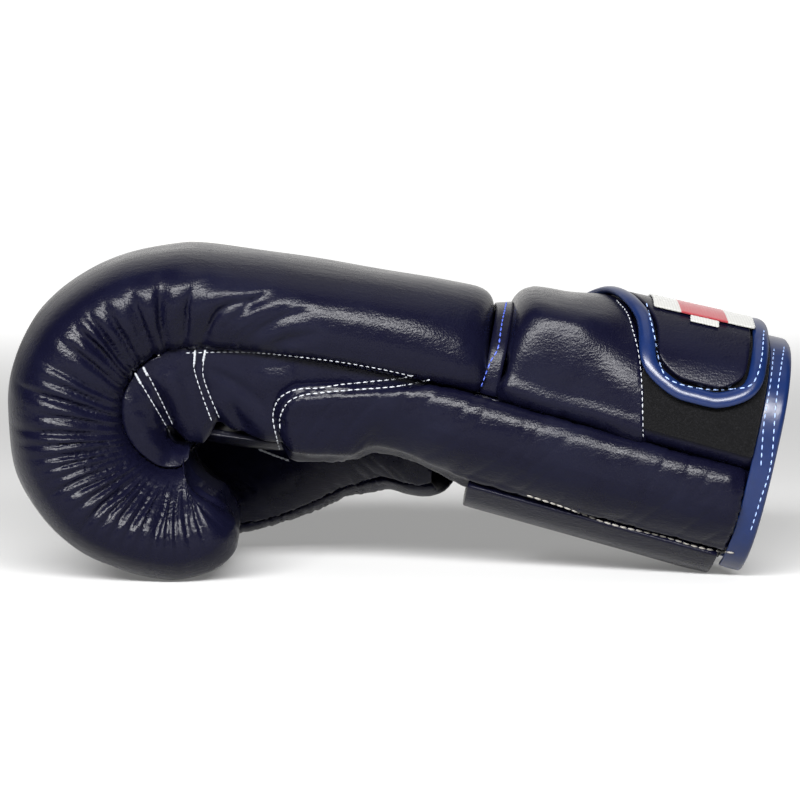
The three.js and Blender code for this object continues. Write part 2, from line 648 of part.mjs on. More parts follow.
// angle is 0 facing away from the fist, 90 on top, 180 against the fist.
function thumbPoint(u, angle, wall) {
  const t = lerp(wall / THUMB_REACH, 1 - wall / THUMB_REACH, u);
  const tip = clamp((u - THUMB_DOME) / (1 - THUMB_DOME), 0, 1);
  const root = ROOT_DRAW * clamp(1 - u / ROOT_ROLL, 0, 1);
  const dome = Math.sqrt(1 - Math.max(tip, root) ** 2);
  const radii = thumbRadii.getPoint(t);
  const along = thumbAxis.getTangent(t);
  const out = new THREE.Vector3(0, 1, 0).addScaledVector(along, -along.y).normalize();
  const up = new THREE.Vector3().crossVectors(out, along).normalize();
  if (up.z < 0) up.negate();
  const high = Math.max((radii.x - wall) * dome, TIP_HOLE);
  const thick = Math.max((radii.y - wall) * dome, TIP_HOLE);
  return thumbAxis
    .getPoint(t)
    .addScaledVector(up, high * Math.sin(angle))
    .addScaledVector(out, thick * Math.cos(angle));
}
const THUMB_FACE = 124; // degrees from the outside to the seam of the flat inner face
const THUMB_SEAM_GAP = 0.5; // half the gap of that seam, in degrees
const THUMB_STEPS = [
  0, 0.02, 0.06, 0.16, 0.25, 0.34, 0.43, 0.52, 0.61, 0.7, 0.78, 0.85, 0.91, 0.955, 0.985, 1,
];
const THUMB_OUTER_COLUMNS = 14;
const THUMB_INNER_COLUMNS = 6;
const THUMB_HOLLOW_SIDES = 20;
function thumbShell(from, to, columns) {
  const angles = evenSteps(columns).map((v) => lerp(from, to, v));
  const start = angles[0];
  const span = angles.at(-1) - start;
  return wallBetween(
    THUMB_STEPS,
    angles.map((a) => (a - start) / span),
    (u, v) => thumbPoint(u, rad(start + v * span), 0),
    (u, v) => thumbPoint(u, rad(start + v * span), THUMB_WALL),
  );
}
function thumbHollow() {
  const ring = evenSteps(THUMB_HOLLOW_SIDES).slice(0, -1);
  return bodyOfRings(THUMB_STEPS.map((u) => ring.map((v) => thumbPoint(u, v * Math.PI * 2, THUMB_WALL))));
}
// The whole outside of the hand as one body, to trim what is sewn onto it.
function handBody() {
  const stations = stationSteps(WRIST - TRIM_PAST_WRIST, FINGER_END);
  const under = [...SIDE_COLUMNS, ...PALM_COLUMNS, ...SIDE_COLUMNS.map((a) => HALF_TURN - a).reverse()];
  return bodyOfRings(
    stations.map((station) => {
      const section = sectionAt(station);
      const hem = section.room + WALL + HEM + GAP;
      return [
        ...crownColumns.map((v) => crownPoint(section, v, hem, 0, TRIM_ROOM)),
        ...under.map((a) => layer(section, rad(HALF_TURN + a), WALL + TRIM_ROOM, -GAP)),
      ];
    }),
  );
}

// The rounded end of the padding, which lies past the last whole section of the hand.
function tipBody() {
  const stations = stationSteps(FINGER_END, END_STATION);
  return bodyOfRings(
    stations.map((station) => {
      const section = sectionAt(station);
      const hem = section.room + WALL + HEM + GAP;
      return crownColumns.map((v) => crownPoint(section, v, hem, 0, TRIM_ROOM));
    }),
  );
}

// Strap. Its edges are given as distances from the cuff's end: start is a share of BINDING_WIDTH beyond the
// binding and width a share of STRAP_WIDTH, each at a turn round the wrist.
const STRAP_ROWS = [
  { turn: STRAP_START_TURN, start: 0.3, width: 1.0 },
  { turn: -60, start: 0.3, width: 0.98 },
  { turn: 0, start: 0.25, width: 0.87 },
  { turn: 45, start: 0.2, width: 0.75 },
  { turn: 90, start: 0.15, width: 0.64 },
  { turn: 125, start: 0.15, width: 0.52 },
  { turn: STRAP_END_TURN, start: 0.3, width: 0.47 },
];
function strapRow(turn) {
  const i = clamp(STRAP_ROWS.findIndex((row) => row.turn > turn) - 1, 0, STRAP_ROWS.length - 2);
  const last = turn >= STRAP_END_TURN;
  const a = STRAP_ROWS[last ? STRAP_ROWS.length - 2 : i];
  const b = STRAP_ROWS[last ? STRAP_ROWS.length - 1 : i + 1];
  const t = clamp((turn - a.turn) / (b.turn - a.turn), 0, 1);
  const near = CUFF_EDGE + BINDING_WIDTH + lerp(a.start, b.start, t) * BINDING_WIDTH;
  return [near, near + lerp(a.width, b.width, t) * STRAP_WIDTH];
}
// Both edges of the strap, drawn in by a margin and rounded towards its free end.
const TURN_LENGTH = ((CUFF_WIDTH + CUFF_HEIGHT) / 2) * rad(0.5); // round the wrist, for each degree
function strapEdges(turn, margin) {
  const [near, far] = strapRow(turn);
  const left = (STRAP_END_TURN - turn) * TURN_LENGTH - margin;
  const corner = rollOff(Math.max(left, 0), STRAP_CORNER - margin) + margin;
  return [near + corner, far - corner];
}
const WRAP_STEPS = [
  -114, -106, -98, -90, -78, -66, -53, -46, -38, -24, -11, 0, STRAIGHT, 22, 32, 42, 54, 66, 78, 90, 102, 114,
  124, 133, 141, 147, 153, 158.5,
];
const PATCH_COLUMNS = 4;
function patchOnCuff(turns, edges, bottom, thickness) {
  const start = turns[0];
  const span = turns.at(-1) - start;
  const face = (raise) => (v, u) => {
    const turn = start + u * span;
    const [near, far] = edges(turn);
    return wrapPoint(sectionAt(lerp(near, far, v)), turn, bottom(turn) + raise);
  };
  const columns = turns.map((turn) => (turn - start) / span);
  return wallBetween(evenSteps(PATCH_COLUMNS), columns, face(thickness), face(0));
}
const PIPING_START_TURN = 30;
const NOTCH_TURN = PIPING_START_TURN - 3; // from here on the leather leaves room for the piping
const NOTCH_SLOPE = 0.3; // degrees over which it narrows
const LEAST_TURN = 1; // shorter steps at the end of a patch would make slivers
function strapBody(margin) {
  const end = STRAP_END_TURN - margin / TURN_LENGTH;
  const inner = [...WRAP_STEPS, NOTCH_TURN, NOTCH_TURN + NOTCH_SLOPE].sort((a, b) => a - b);
  const turns = [STRAP_START_TURN, ...inner.filter((turn) => turn < end - LEAST_TURN), end];
  const edges = (turn) => (turn > NOTCH_TURN ? strapEdges(turn, margin) : strapRow(turn));
  return patchOnCuff(turns, edges, strapLift, STRAP_THICKNESS);
}

// A rounded bead that follows a line on the cuff.
function bead(line, width, thickness, sides) {
  const points = line.map(([station, turn, lift]) => wrapPoint(sectionAt(station), turn, lift));
  const rings = line.map(([station, turn, lift], i) => {
    const ahead = points[Math.min(i + 1, points.length - 1)].clone();
    const along = ahead.sub(points[Math.max(i - 1, 0)]).normalize();
    const above = wrapPoint(sectionAt(station), turn, lift + 1).sub(points[i]);
    const normal = above.addScaledVector(along, -above.dot(along)).normalize();
    const side = new THREE.Vector3().crossVectors(along, normal);
    return evenSteps(sides)
      .slice(0, -1)
      .map((v) => {
        const a = v * Math.PI * 2;
        return points[i]
          .clone()
          .addScaledVector(side, (width / 2) * Math.cos(a))
          .addScaledVector(normal, (thickness / 2) * Math.sin(a));
      });
  });
  return bodyOfRings(rings);
}
const PIPING_SIDES = 8;
const END_COLUMNS = 4;
function strapPiping() {
  const half = PIPING_WIDTH / 2;
  const end = STRAP_END_TURN - half / TURN_LENGTH;
  const between = WRAP_STEPS.filter((turn) => turn > PIPING_START_TURN && turn < end - LEAST_TURN);
  const turns = [PIPING_START_TURN, ...between, end];
  const lift = (turn) => strapLift(turn) + PIPING_THICKNESS / 2;
  const near = turns.map((turn) => [strapEdges(turn, half)[0], turn, lift(turn)]);
  const far = turns.map((turn) => [strapEdges(turn, half)[1], turn, lift(turn)]).reverse();
  const [a, b] = strapEdges(end, half);
  const inside = evenSteps(END_COLUMNS).slice(1, -1);
  const across = inside.map((v) => [lerp(a, b, v), end, lift(end)]);
  return bead([...near, ...across, ...far], PIPING_WIDTH, PIPING_THICKNESS, PIPING_SIDES);
}

const TAPE_STEPS = [TAPE_START_TURN, 102, 114, 124, 133, 141, 150, 159, 168, TAPE_END_TURN];
function loopTape() {
  const near = CUFF_EDGE + BINDING_WIDTH + GAP;
  return patchOnCuff(TAPE_STEPS, () => [near, near + TAPE_LENGTH], () => GAP, TAPE_THICKNESS);
}
const LABEL_START_TURN = 58;
const LABEL_END_TURN = 114;
const LABEL_STEPS = [LABEL_START_TURN, 66, 78, 90, 102, LABEL_END_TURN];
const labelLift = (turn) => strapLift(turn) + STRAP_THICKNESS + GAP;
function labelEdges() {
  const [near, far] = strapRow(LABEL_END_TURN);
  const middle = (near + far) / 2 - LABEL_OFFSET;
  return [middle - LABEL_LENGTH / 2, middle + LABEL_LENGTH / 2];
}
function strapLabel() {
  return patchOnCuff(LABEL_STEPS, labelEdges, labelLift, LABEL_THICKNESS);
}
const TAG_START_TURN = LABEL_END_TURN + (2 * GAP) / TURN_LENGTH;
const TAG_STEPS = [TAG_START_TURN, TAG_START_TURN + TAG_LENGTH / TURN_LENGTH];
function sizeTag() {
  const [near, far] = labelEdges();
  const middle = (near + far) / 2;
  const edges = () => [middle - TAG_WIDTH / 2, middle + TAG_WIDTH / 2];
  return patchOnCuff(TAG_STEPS, edges, labelLift, TAG_THICKNESS);
}

// Binding folded over the cuff's edge: a lip outside, the edge itself and a short lip inside.
const BINDING_TURNS = [-68, -62, -53, -44, -34, -22, -10, 0, STRAIGHT, 22, 32, 42, 54, 66, 78, 90];
const LIP_SHARE = 0.25; // of the way across the profile, for each of the two lips
function cuffBinding() {
  const turns = [...BINDING_TURNS, ...BINDING_TURNS.slice(0, -1).map(mirrored).reverse()];
  const start = turns[0];
  const span = turns.at(-1) - start;
  const lip = CUFF_EDGE + BINDING_WIDTH - GAP;
  // Along the profile: the outer lip, the edge at half way, the inner lip.
  const profile = (inset) => (u, v) => {
    const turn = start + v * span;
    const inLip = Math.max(Math.abs(u - 0.5) - (0.5 - LIP_SHARE), 0) / LIP_SHARE;
    const station = lerp(inset, lip, inLip);
    const section = sectionAt(station);
    if (u < 0.5) return wrapPoint(section, turn, -inset);
    return layer(section, rad(turn), inset - LIP_ROOM - BINDING_THICKNESS);
  };
  const columns = turns.map((turn) => (turn - start) / span);
  const rows = [0, LIP_SHARE, 1 - LIP_SHARE, 1];
  return wallBetween(rows, columns, profile(0), profile(BINDING_THICKNESS));
}

// What lies below the standing height is cut away flat.
const FLOOR_LENGTH = 10 * FIST_RADIUS;
const FLOOR_WIDTH = 3 * FIST_WIDTH;
const floorTool = new THREE.BoxGeometry(FLOOR_LENGTH, FLOOR_WIDTH, STANDING_HEIGHT);
floorTool.translate(0, 0, -1.5 * STANDING_HEIGHT);
const hand = [handBody(), tipBody()];
const outerFrom = -THUMB_FACE + THUMB_SEAM_GAP;
const innerFrom = THUMB_FACE + THUMB_SEAM_GAP;
const thumbBack = thumbShell(outerFrom, -outerFrom, THUMB_OUTER_COLUMNS);
const thumbFace = thumbShell(innerFrom, FULL_TURN - innerFrom, THUMB_INNER_COLUMNS);
addPiece("back_padding", cutBy(backPadding(), floorTool), leather);
addPiece("thumb_side", cutBy(sidePanel(thumbTurn), thumbHollow()), leather);
addPiece("little_finger_side", sidePanel(littleTurn), leather);
addPiece("palm_panel", cutBy(palmPanel(), thumbHollow()), leather);
addPiece("palm_tongue", palmTongue(), leather);
addPiece("wrist_seam_strip", wristSeamStrip(), leather);
addPiece("cuff_back", cuffBack(), leather);
addPiece("wrist_pad_little", wristPad(CUFF_EDGE, PAD_END, littleTurn, true), leather);
addPiece("wrist_pad_thumb", wristPad(CUFF_EDGE, WRIST - THUMB_PAD_ROOM, thumbTurn, false), leather);
addPiece("thumb_outer", cutBy(thumbBack, ...hand), leather);
addPiece("thumb_inner", cutBy(thumbFace, ...hand), leather);
addPiece("loop_tape", loopTape(), loopPile);
addPiece("strap", cutBy(strapBody(PIPING_WIDTH + PIPING_ROOM), floorTool), leather);
addPiece("strap_binding", strapPiping(), binding);
addPiece("strap_label", strapLabel(), cloth);
addPiece("size_tag", sizeTag(), cloth);
addPiece("cuff_binding", cuffBinding(), binding);

// The origin is under the middle of the glove, on the surface it stands on.
const extent = new THREE.Box3().setFromObject(glove);
const middle = extent.getCenter(new THREE.Vector3());
for (const mesh of glove.children) mesh.geometry.translate(-middle.x, -middle.y, -extent.min.z);

export default glove;
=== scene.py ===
# %% [markdown]
# # A boxing glove, piece by piece
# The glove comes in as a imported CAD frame: plain closed solids of the right size, each under its own name.
# Everything here gives those solids the look of the real thing: glossy navy leather drawn into gathers over
# foam, thread, vinyl binding, loop tape and woven labels. All lengths are metres, in the frame's own axes:
# +X runs to the cuff, -Y is the little-finger side that the camera sees, +Z is up.

import math

import bmesh
import bpy
import numpy as np
from mathutils import Matrix, Vector, noise
from mathutils.bvhtree import BVHTree


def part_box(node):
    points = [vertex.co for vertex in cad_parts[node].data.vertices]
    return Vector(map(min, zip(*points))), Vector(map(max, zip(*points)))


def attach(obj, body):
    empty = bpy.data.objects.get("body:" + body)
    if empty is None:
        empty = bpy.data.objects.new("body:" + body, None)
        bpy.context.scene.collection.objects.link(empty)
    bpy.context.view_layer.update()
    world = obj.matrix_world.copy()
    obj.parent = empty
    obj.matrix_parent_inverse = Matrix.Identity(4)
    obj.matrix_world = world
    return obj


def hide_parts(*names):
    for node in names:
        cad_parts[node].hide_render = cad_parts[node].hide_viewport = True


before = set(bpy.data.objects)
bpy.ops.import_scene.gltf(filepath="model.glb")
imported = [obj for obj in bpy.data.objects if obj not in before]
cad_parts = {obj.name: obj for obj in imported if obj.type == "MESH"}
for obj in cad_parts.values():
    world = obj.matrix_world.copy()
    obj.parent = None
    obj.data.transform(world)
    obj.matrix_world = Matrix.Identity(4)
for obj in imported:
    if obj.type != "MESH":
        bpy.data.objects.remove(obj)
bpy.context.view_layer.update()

# %% [markdown]
# ## Camera
# The photograph looks level at the little-finger side from a little over a metre, so the edges hardly
# converge. A long lens far away gives that flatness. The camera is made first, because the folds and the
# thread are placed by where they show in the picture: every point of the glove knows its place there, and a
# ray through a picture point finds the leather.

# %% Camera
MM = 0.001
PICTURE = 800  # pixels across the square picture
SENSOR = 36.0
LENS = 120.55
SHIFT_X = 0.00225
SHIFT_Y = 0.00463
LOOKS_DOWN = math.radians(4)
camera_data = bpy.data.cameras.new("camera")
camera_data.lens = LENS
camera_data.sensor_width = SENSOR
camera_data.shift_x = SHIFT_X
camera_data.shift_y = SHIFT_Y
camera = bpy.data.objects.new("camera", camera_data)
camera.location = (0.0, -1.1472, 0.1504)
camera.rotation_euler = (math.pi / 2 - LOOKS_DOWN, 0, 0)
bpy.context.scene.collection.objects.link(camera)
bpy.context.scene.camera = camera
FORWARD = Vector((0, math.cos(LOOKS_DOWN), -math.sin(LOOKS_DOWN)))
UPWARD = Vector((0, math.sin(LOOKS_DOWN), math.cos(LOOKS_DOWN)))


def picture_ray(px, py):
    """The direction from the camera through a point of the picture."""
    right = (px - PICTURE / 2) / PICTURE + SHIFT_X
    up = (PICTURE / 2 - py) / PICTURE + SHIFT_Y
    return (FORWARD + (Vector((1, 0, 0)) * right + UPWARD * up) * SENSOR / LENS).normalized()


def picture_places(points):
    """Where points show in the picture, one row of two pixel coordinates for each."""
    away = points - np.array(camera.location)
    depth = away @ np.array(FORWARD)
    right = away[:, 0] / depth * LENS / SENSOR - SHIFT_X
    up = (away @ np.array(UPWARD)) / depth * LENS / SENSOR - SHIFT_Y
    return np.stack([PICTURE / 2 + right * PICTURE, PICTURE / 2 - up * PICTURE], 1)


print("camera", tuple(camera.location))

# %% [markdown]
# ## Nodes in one line each
# A Blender material is a graph of nodes. One small function adds a node, sets it, and links it, so that a
# material reads like a recipe. Colours are written as they look on a screen and turned to light values.


# %% Node helpers
def linear(code):
    """An sRGB hex colour as the linear values that shaders use."""
    channels = [int(code[i : i + 2], 16) / 255 for i in (1, 3, 5)]
    return (*[c / 12.92 if c <= 0.04045 else ((c + 0.055) / 1.055) ** 2.4 for c in channels], 1.0)


def add_node(tree, kind, settings=None, **inputs):
    """Adds a node, sets its properties, and sets or links its inputs by name, or by number as i0, i1."""
    made = tree.nodes.new(kind)
    for key, value in (settings or {}).items():
        setattr(made, key, value)
    for key, value in inputs.items():
        socket = made.inputs[int(key[1:]) if key[1:].isdigit() else key.replace("_", " ")]
        if isinstance(value, bpy.types.NodeSocket):
            tree.links.new(value, socket)
        else:
            socket.default_value = value
    return made


def new_material(name):
    material = bpy.data.materials.new(name)
    material.use_nodes = True
    material.node_tree.nodes.clear()
    return material, material.node_tree


def finish_material(material, tree, shader):
    add_node(tree, "ShaderNodeOutputMaterial", Surface=shader.outputs[0])
    return material


def mixed(tree, factor, first, second):
    """A colour between two."""
    return add_node(tree, "ShaderNodeMix", {"data_type": "RGBA"}, i0=factor, i6=first, i7=second).outputs[2]


print("helpers ready")

# %% [markdown]
# ## Floor and light
# The leather is so dark that what one sees of it is reflection. A long narrow soft box above the camera draws
# the bright streaks along the folds, the roll and the cuff's hem, and a weak one overhead greys the top of the
# hand. Behind the glove the studio is white and its ceiling bright, which turns the rims grey, while the room
# behind the camera is dim, so the flat sides stay nearly black. The floor is a pale board that glows more
# towards its far end, so that it runs into the white without a line. The plain view transform keeps white as
# white, as a product photograph does.


# %% Floor, studio and lights
def place(name, mesh_maker):
    """Makes a mesh object at the origin from what mesh_maker puts into a bmesh."""
    mesh = bpy.data.meshes.new(name)
    bm = bmesh.new()
    mesh_maker(bm)
    bm.to_mesh(mesh)
    bm.free()
    made = bpy.data.objects.new(name, mesh)
    bpy.context.scene.collection.objects.link(made)
    return made


def stepped(tree, value, low, high, start=0.0, end=1.0):
    """A smooth step of a value from low to high."""
    return add_node(
        tree, "ShaderNodeMapRange", {"interpolation_type": "SMOOTHSTEP"}, Value=value,
        From_Min=low, From_Max=high, To_Min=start, To_Max=end,
    ).outputs[0]


def product(tree, first, second):
    return add_node(tree, "ShaderNodeMath", {"operation": "MULTIPLY"}, i0=first, i1=second).outputs[0]


def total(tree, first, second):
    return add_node(tree, "ShaderNodeMath", {"operation": "ADD"}, i0=first, i1=second).outputs[0]


TABLE_FRONT = -0.5  # just outside the picture, so the glove's sides don't mirror the board
TABLE_BACK = 12.0
TABLE_HALF_WIDTH = 4


def table(bm):
    moved = Matrix.Translation((0, (TABLE_FRONT + TABLE_BACK) / 2, 0))
    stretched = Matrix.Diagonal((TABLE_HALF_WIDTH, (TABLE_BACK - TABLE_FRONT) / 2, 1, 1))
    bmesh.ops.create_grid(bm, x_segments=1, y_segments=1, size=1, matrix=moved @ stretched)


floor = place("floor", table)
paint, tree = new_material("pale_board_painted_glow")
where = add_node(tree, "ShaderNodeTexCoord").outputs["Object"]
# The board's glow is painted light: its emission climbs from 0.14 in front of the glove to 0.95 at its far
# end.
far = stepped(tree, add_node(tree, "ShaderNodeSeparateXYZ", Vector=where).outputs["Y"], 0.1, 3.0, 0.14, 0.95)
speckle = add_node(tree, "ShaderNodeTexNoise", Scale=3.0)
shade = mixed(tree, speckle.outputs[0], linear("#b4b4b4"), linear("#bababa"))
board = add_node(
    tree, "ShaderNodeBsdfPrincipled", Base_Color=shade, Roughness=0.9, Emission_Color=linear("#ffffff"),
    Emission_Strength=far,
)
floor.data.materials.append(finish_material(paint, tree, board))

DIM_ROOM = 0.03
CEILING = 1.1
world = bpy.data.worlds.new("studio")
world.use_nodes = True
bpy.context.scene.world = world
tree = world.node_tree
tree.nodes.clear()
direction = add_node(tree, "ShaderNodeTexCoord").outputs["Generated"]
ways = add_node(tree, "ShaderNodeSeparateXYZ", Vector=direction).outputs
white_wall = stepped(tree, ways["Y"], 0.958, 0.977)
ceiling = product(
    tree, stepped(tree, ways["Y"], 0.25, 0.92, 0, CEILING), stepped(tree, ways["Z"], -0.05, 0.4, 0.16, 1)
)
glow = total(tree, total(tree, ceiling, white_wall), DIM_ROOM)
room = add_node(tree, "ShaderNodeBackground", Color=linear("#faf9f6"), Strength=glow)
add_node(tree, "ShaderNodeOutputWorld", Surface=room.outputs[0])
bpy.context.scene.view_settings.view_transform = "Standard"


def soft_box(name, at, towards, size, watts):
    light = bpy.data.lights.new(name, "AREA")
    light.shape = "RECTANGLE"
    light.size, light.size_y = size
    light.energy = watts
    lamp = bpy.data.objects.new(name, light)
    lamp.location = at
    lamp.rotation_euler = (Vector(towards) - Vector(at)).to_track_quat("-Z", "Y").to_euler()
    bpy.context.scene.collection.objects.link(lamp)


GLOVE_MIDDLE = (0, 0, 0.07)
soft_box("front_box", (-0.12, -1.1, 0.65), GLOVE_MIDDLE, (1.45, 0.25), 64)
soft_box("overhead_box", (0.22, 0.05, 1.1), GLOVE_MIDDLE, (0.9, 0.7), 2.2)
print("lit")

# %% [markdown]
# ## Places on the glove
# The fist curls round one point, the crook of the fingers. Folds in its leather run out from the seam like
# spokes, so they are easiest to describe by the angle round that point and the share of the way from the seam
# to the outside. The crook's place follows from the padding's own box.


# %% Crook, seam and crown
def box_of(node):
    low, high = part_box(node)
    return Vector(low), Vector(high)


cuff_low, cuff_high = box_of("cuff_back")
fist_low, _ = box_of("back_padding")
CENTRE_Y = (cuff_low.y + cuff_high.y) / 2
CROOK_X = fist_low.x + 76.1 * MM
CROOK_Z = 60.6 * MM
# Angle round the crook in degrees, and how far the seam and the outside are from it there.
CURL = {
    "angle": [90, 115, 140, 165, 190, 215, 240, 265, 280, 290, 300],
    "seam_mm": [36, 34, 30, 25.5, 21, 18, 16.2, 14.2, 11.2, 7.5, 7],
    "crown_mm": [80, 80, 81, 79, 75, 69, 63, 62, 60, 57, 50],
}
# The same along the straight back of the hand: distance from the crook, seam and outside above it.
HAND = {"x_mm": [0, 20, 54, 104, 132], "seam_mm": [36, 36, 33, 24, 17], "crown_mm": [80, 78, 73, 65, 60]}
MM_PER_DEGREE = 0.96  # along the outside of the fist


def fist_places(points):
    """Millimetres along the seam from the knuckles, and the share of the way from seam to crown."""
    x = (points[:, 0] - CROOK_X) / MM
    z = (points[:, 2] - CROOK_Z) / MM
    angle = np.degrees(np.arctan2(z, x)) % 360
    angle = np.where(angle < 45, angle + 360, angle)
    seam = np.interp(angle, CURL["angle"], CURL["seam_mm"])
    crown = np.interp(angle, CURL["angle"], CURL["crown_mm"])
    round_share = (np.hypot(x, z) - seam) / (crown - seam)
    hand_seam = np.interp(x, HAND["x_mm"], HAND["seam_mm"])
    hand_crown = np.interp(x, HAND["x_mm"], HAND["crown_mm"])
    straight_share = (z - hand_seam) / (hand_crown - hand_seam)
    straight = (x >= 0) & (z > 0)
    along = np.where(straight, -x, (angle - 90) * MM_PER_DEGREE)
    return along, np.where(straight, straight_share, round_share)


print("crook at", CROOK_X, CENTRE_Y, CROOK_Z)

# %% [markdown]
# ## From a plain solid to soft leather
# A CAD solid is a few flat facets. Its triangles are first paired into squares and subdivided, which rounds
# them. A padded piece is then remeshed into small even squares, which can be pushed in and out like clay. A
# thin panel keeps its own layout, so its edges stay crisp. In both cases the folds are pushed in by code
# afterwards, because they must follow the seams exactly.


# %% Helpers for soft pieces
def bake(piece):
    """Puts what the modifiers make into the mesh and removes them."""
    graph = bpy.context.evaluated_depsgraph_get()
    done = bpy.data.meshes.new_from_object(piece.evaluated_get(graph))
    piece.modifiers.clear()
    old = piece.data
    piece.data = done
    bpy.data.meshes.remove(old)


def rounded(node, name, levels, crease=0.0, crease_angle=50):
    """A copy of a CAD node that stands for it, with its triangles paired into squares and subdivided."""
    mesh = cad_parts[node].data.copy()
    mesh.materials.clear()
    bm = bmesh.new()
    bm.from_mesh(mesh)
    bmesh.ops.remove_doubles(bm, verts=bm.verts, dist=0.02 * MM)
    bmesh.ops.dissolve_degenerate(bm, edges=bm.edges, dist=0.01 * MM)
    bmesh.ops.join_triangles(
        bm, faces=bm.faces, angle_face_threshold=math.radians(40), angle_shape_threshold=math.radians(60)
    )
    marks = bm.edges.layers.float.new("crease_edge")
    for edge in bm.edges:
        if edge.is_manifold and edge.calc_face_angle(0) > math.radians(crease_angle):
            edge[marks] = crease
    bm.to_mesh(mesh)
    bm.free()
    piece = bpy.data.objects.new(name, mesh)
    bpy.context.scene.collection.objects.link(piece)
    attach(piece, "root")
    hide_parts(node)
    finer = piece.modifiers.new("finer", "SUBSURF")
    finer.levels = finer.render_levels = levels
    bake(piece)
    return piece


def remeshed(node, name, voxel_mm, rounds):
    """The rounded node as even squares of about voxel_mm, smoothed."""
    piece = rounded(node, name, 2, crease=0.75)
    even = piece.modifiers.new("even", "REMESH")
    even.mode = "VOXEL"
    even.voxel_size = voxel_mm * MM
    soft = piece.modifiers.new("soft", "SMOOTH")
    soft.factor = 0.5
    soft.iterations = rounds
    bake(piece)
    return piece


def smoothed_where(piece, chosen, rounds, factor=0.5):
    """Smooths only the chosen vertices."""
    group = piece.vertex_groups.new(name="chosen")
    group.add([int(i) for i in np.nonzero(chosen)[0]], 1.0, "REPLACE")
    soft = piece.modifiers.new("soft", "SMOOTH")
    soft.factor = factor
    soft.iterations = rounds
    soft.vertex_group = group.name
    bake(piece)
    piece.vertex_groups.clear()


def read_mesh(piece):
    points = np.empty(len(piece.data.vertices) * 3)
    piece.data.vertices.foreach_get("co", points)
    normals = np.empty(len(piece.data.vertices) * 3)
    piece.data.vertices.foreach_get("normal", normals)
    return points.reshape(-1, 3), normals.reshape(-1, 3)


def write_mesh(piece, points):
    piece.data.vertices.foreach_set("co", points.reshape(-1))
    piece.data.update()


def shade_smooth(piece):
    piece.data.polygons.foreach_set("use_smooth", [True] * len(piece.data.polygons))


print("soft helpers ready")


# %% Helpers for folds
def fade(values, start, end):
    """0 before start, 1 after end, smooth between. Start may be the larger one."""
    t = np.clip((values - start) / (end - start), 0, 1)
    return t * t * (3 - 2 * t)


def waves(columns, seed):
    """Smooth noise from -1 to 1 at each row of columns."""
    shift = Vector((seed * 7.3, seed * 3.1, seed * 5.7))
    return np.array([noise.noise(Vector(row) + shift) for row in columns])


def creases(columns, seed, sharpness):
    """1 along thin wandering lines, falling to 0 between them."""
    return (1 - np.abs(waves(columns, seed))) ** sharpness


def seen_from_little_side(points):
    """Picture places as if every point lay on the side that the camera sees, so both sides fold alike."""
    turned = points.copy()
    turned[:, 1] = CENTRE_Y - np.abs(points[:, 1] - CENTRE_Y)
    return picture_places(turned)


def from_line(places, line):
    """Pixels from a line of picture points, and the share of its length where each place is nearest."""
    best = np.full(len(places), np.inf)
    share = np.zeros(len(places))
    spots = np.array(line, float)
    lengths = np.hypot(*(spots[1:] - spots[:-1]).T)
    done = 0.0
    for start, end, length in zip(spots, spots[1:], lengths):
        t = np.clip(((places - start) @ (end - start)) / length**2, 0, 1)
        gap = np.hypot(*(places - start - t[:, None] * (end - start)).T)
        nearer = gap < best
        best[nearer] = gap[nearer]
        share[nearer] = (done + t[nearer] * length) / lengths.sum()
        done += length
    return best, share


def fold(places, line, height, width, taper=0.25):
    """A valley or ridge of a height in millimetres along a picture line, tapered at its ends."""
    gap, share = from_line(places, line)
    ends = fade(share, 0, taper) * fade(share, 1, 1 - taper)
    return height * np.exp(-((gap / width) ** 2)) * ends


def puckers(places, line, depth, reach, pitch, seed):
    """Short creases across a row of stitches, a pitch apart and a reach long, all in pixels."""
    gap, share = from_line(places, line)
    length = np.hypot(*(np.diff(np.array(line, float), axis=0)).T).sum()
    rows = np.stack([share * length / pitch, gap * 0, gap * 0], 1)
    return -depth * creases(rows, seed, 3) * np.exp(-((gap / reach) ** 2))


print("fold helpers ready")

# %% [markdown]
# ## The padding over the hand
# The back of the glove is one thick foam pad in one piece of leather. Its edge is longer than the seam it is
# sewn to, so the leather is drawn in to dozens of gathers: sharp valleys that start at the seam, rounded
# ridges between them, all fading out past half way up the side. Modelled by hand they would take a day. A
# cloth simulation makes them too, but leaves no say in their pitch, depth and reach. So each gather is a line
# with its own place, depth and reach, and a formula gives the leather between two lines the shape of a
# drawn-up ridge.


# %% The gathers
# Millimetres from one deep gather to the next, its depth, and how far up it reaches, along the fist.
GATHERS = {
    "along": [-20, 40, 62, 130, 200],
    "pitch_mm": [9.5, 8.5, 6.0, 5.8, 6.4],
    "depth_mm": [4.2, 4.2, 3.0, 2.9, 3.0],
    "reach": [0.78, 0.78, 0.9, 0.88, 0.9],
}
GATHER_FROM = GATHERS["along"][0]
GATHER_TO = GATHERS["along"][-1]
# How far a gather leans towards the wrist on its way up, in millimetres.
LEAN = {"along": [-60, -30, -7, 22], "lean_mm": [62, 42, 9, 0]}


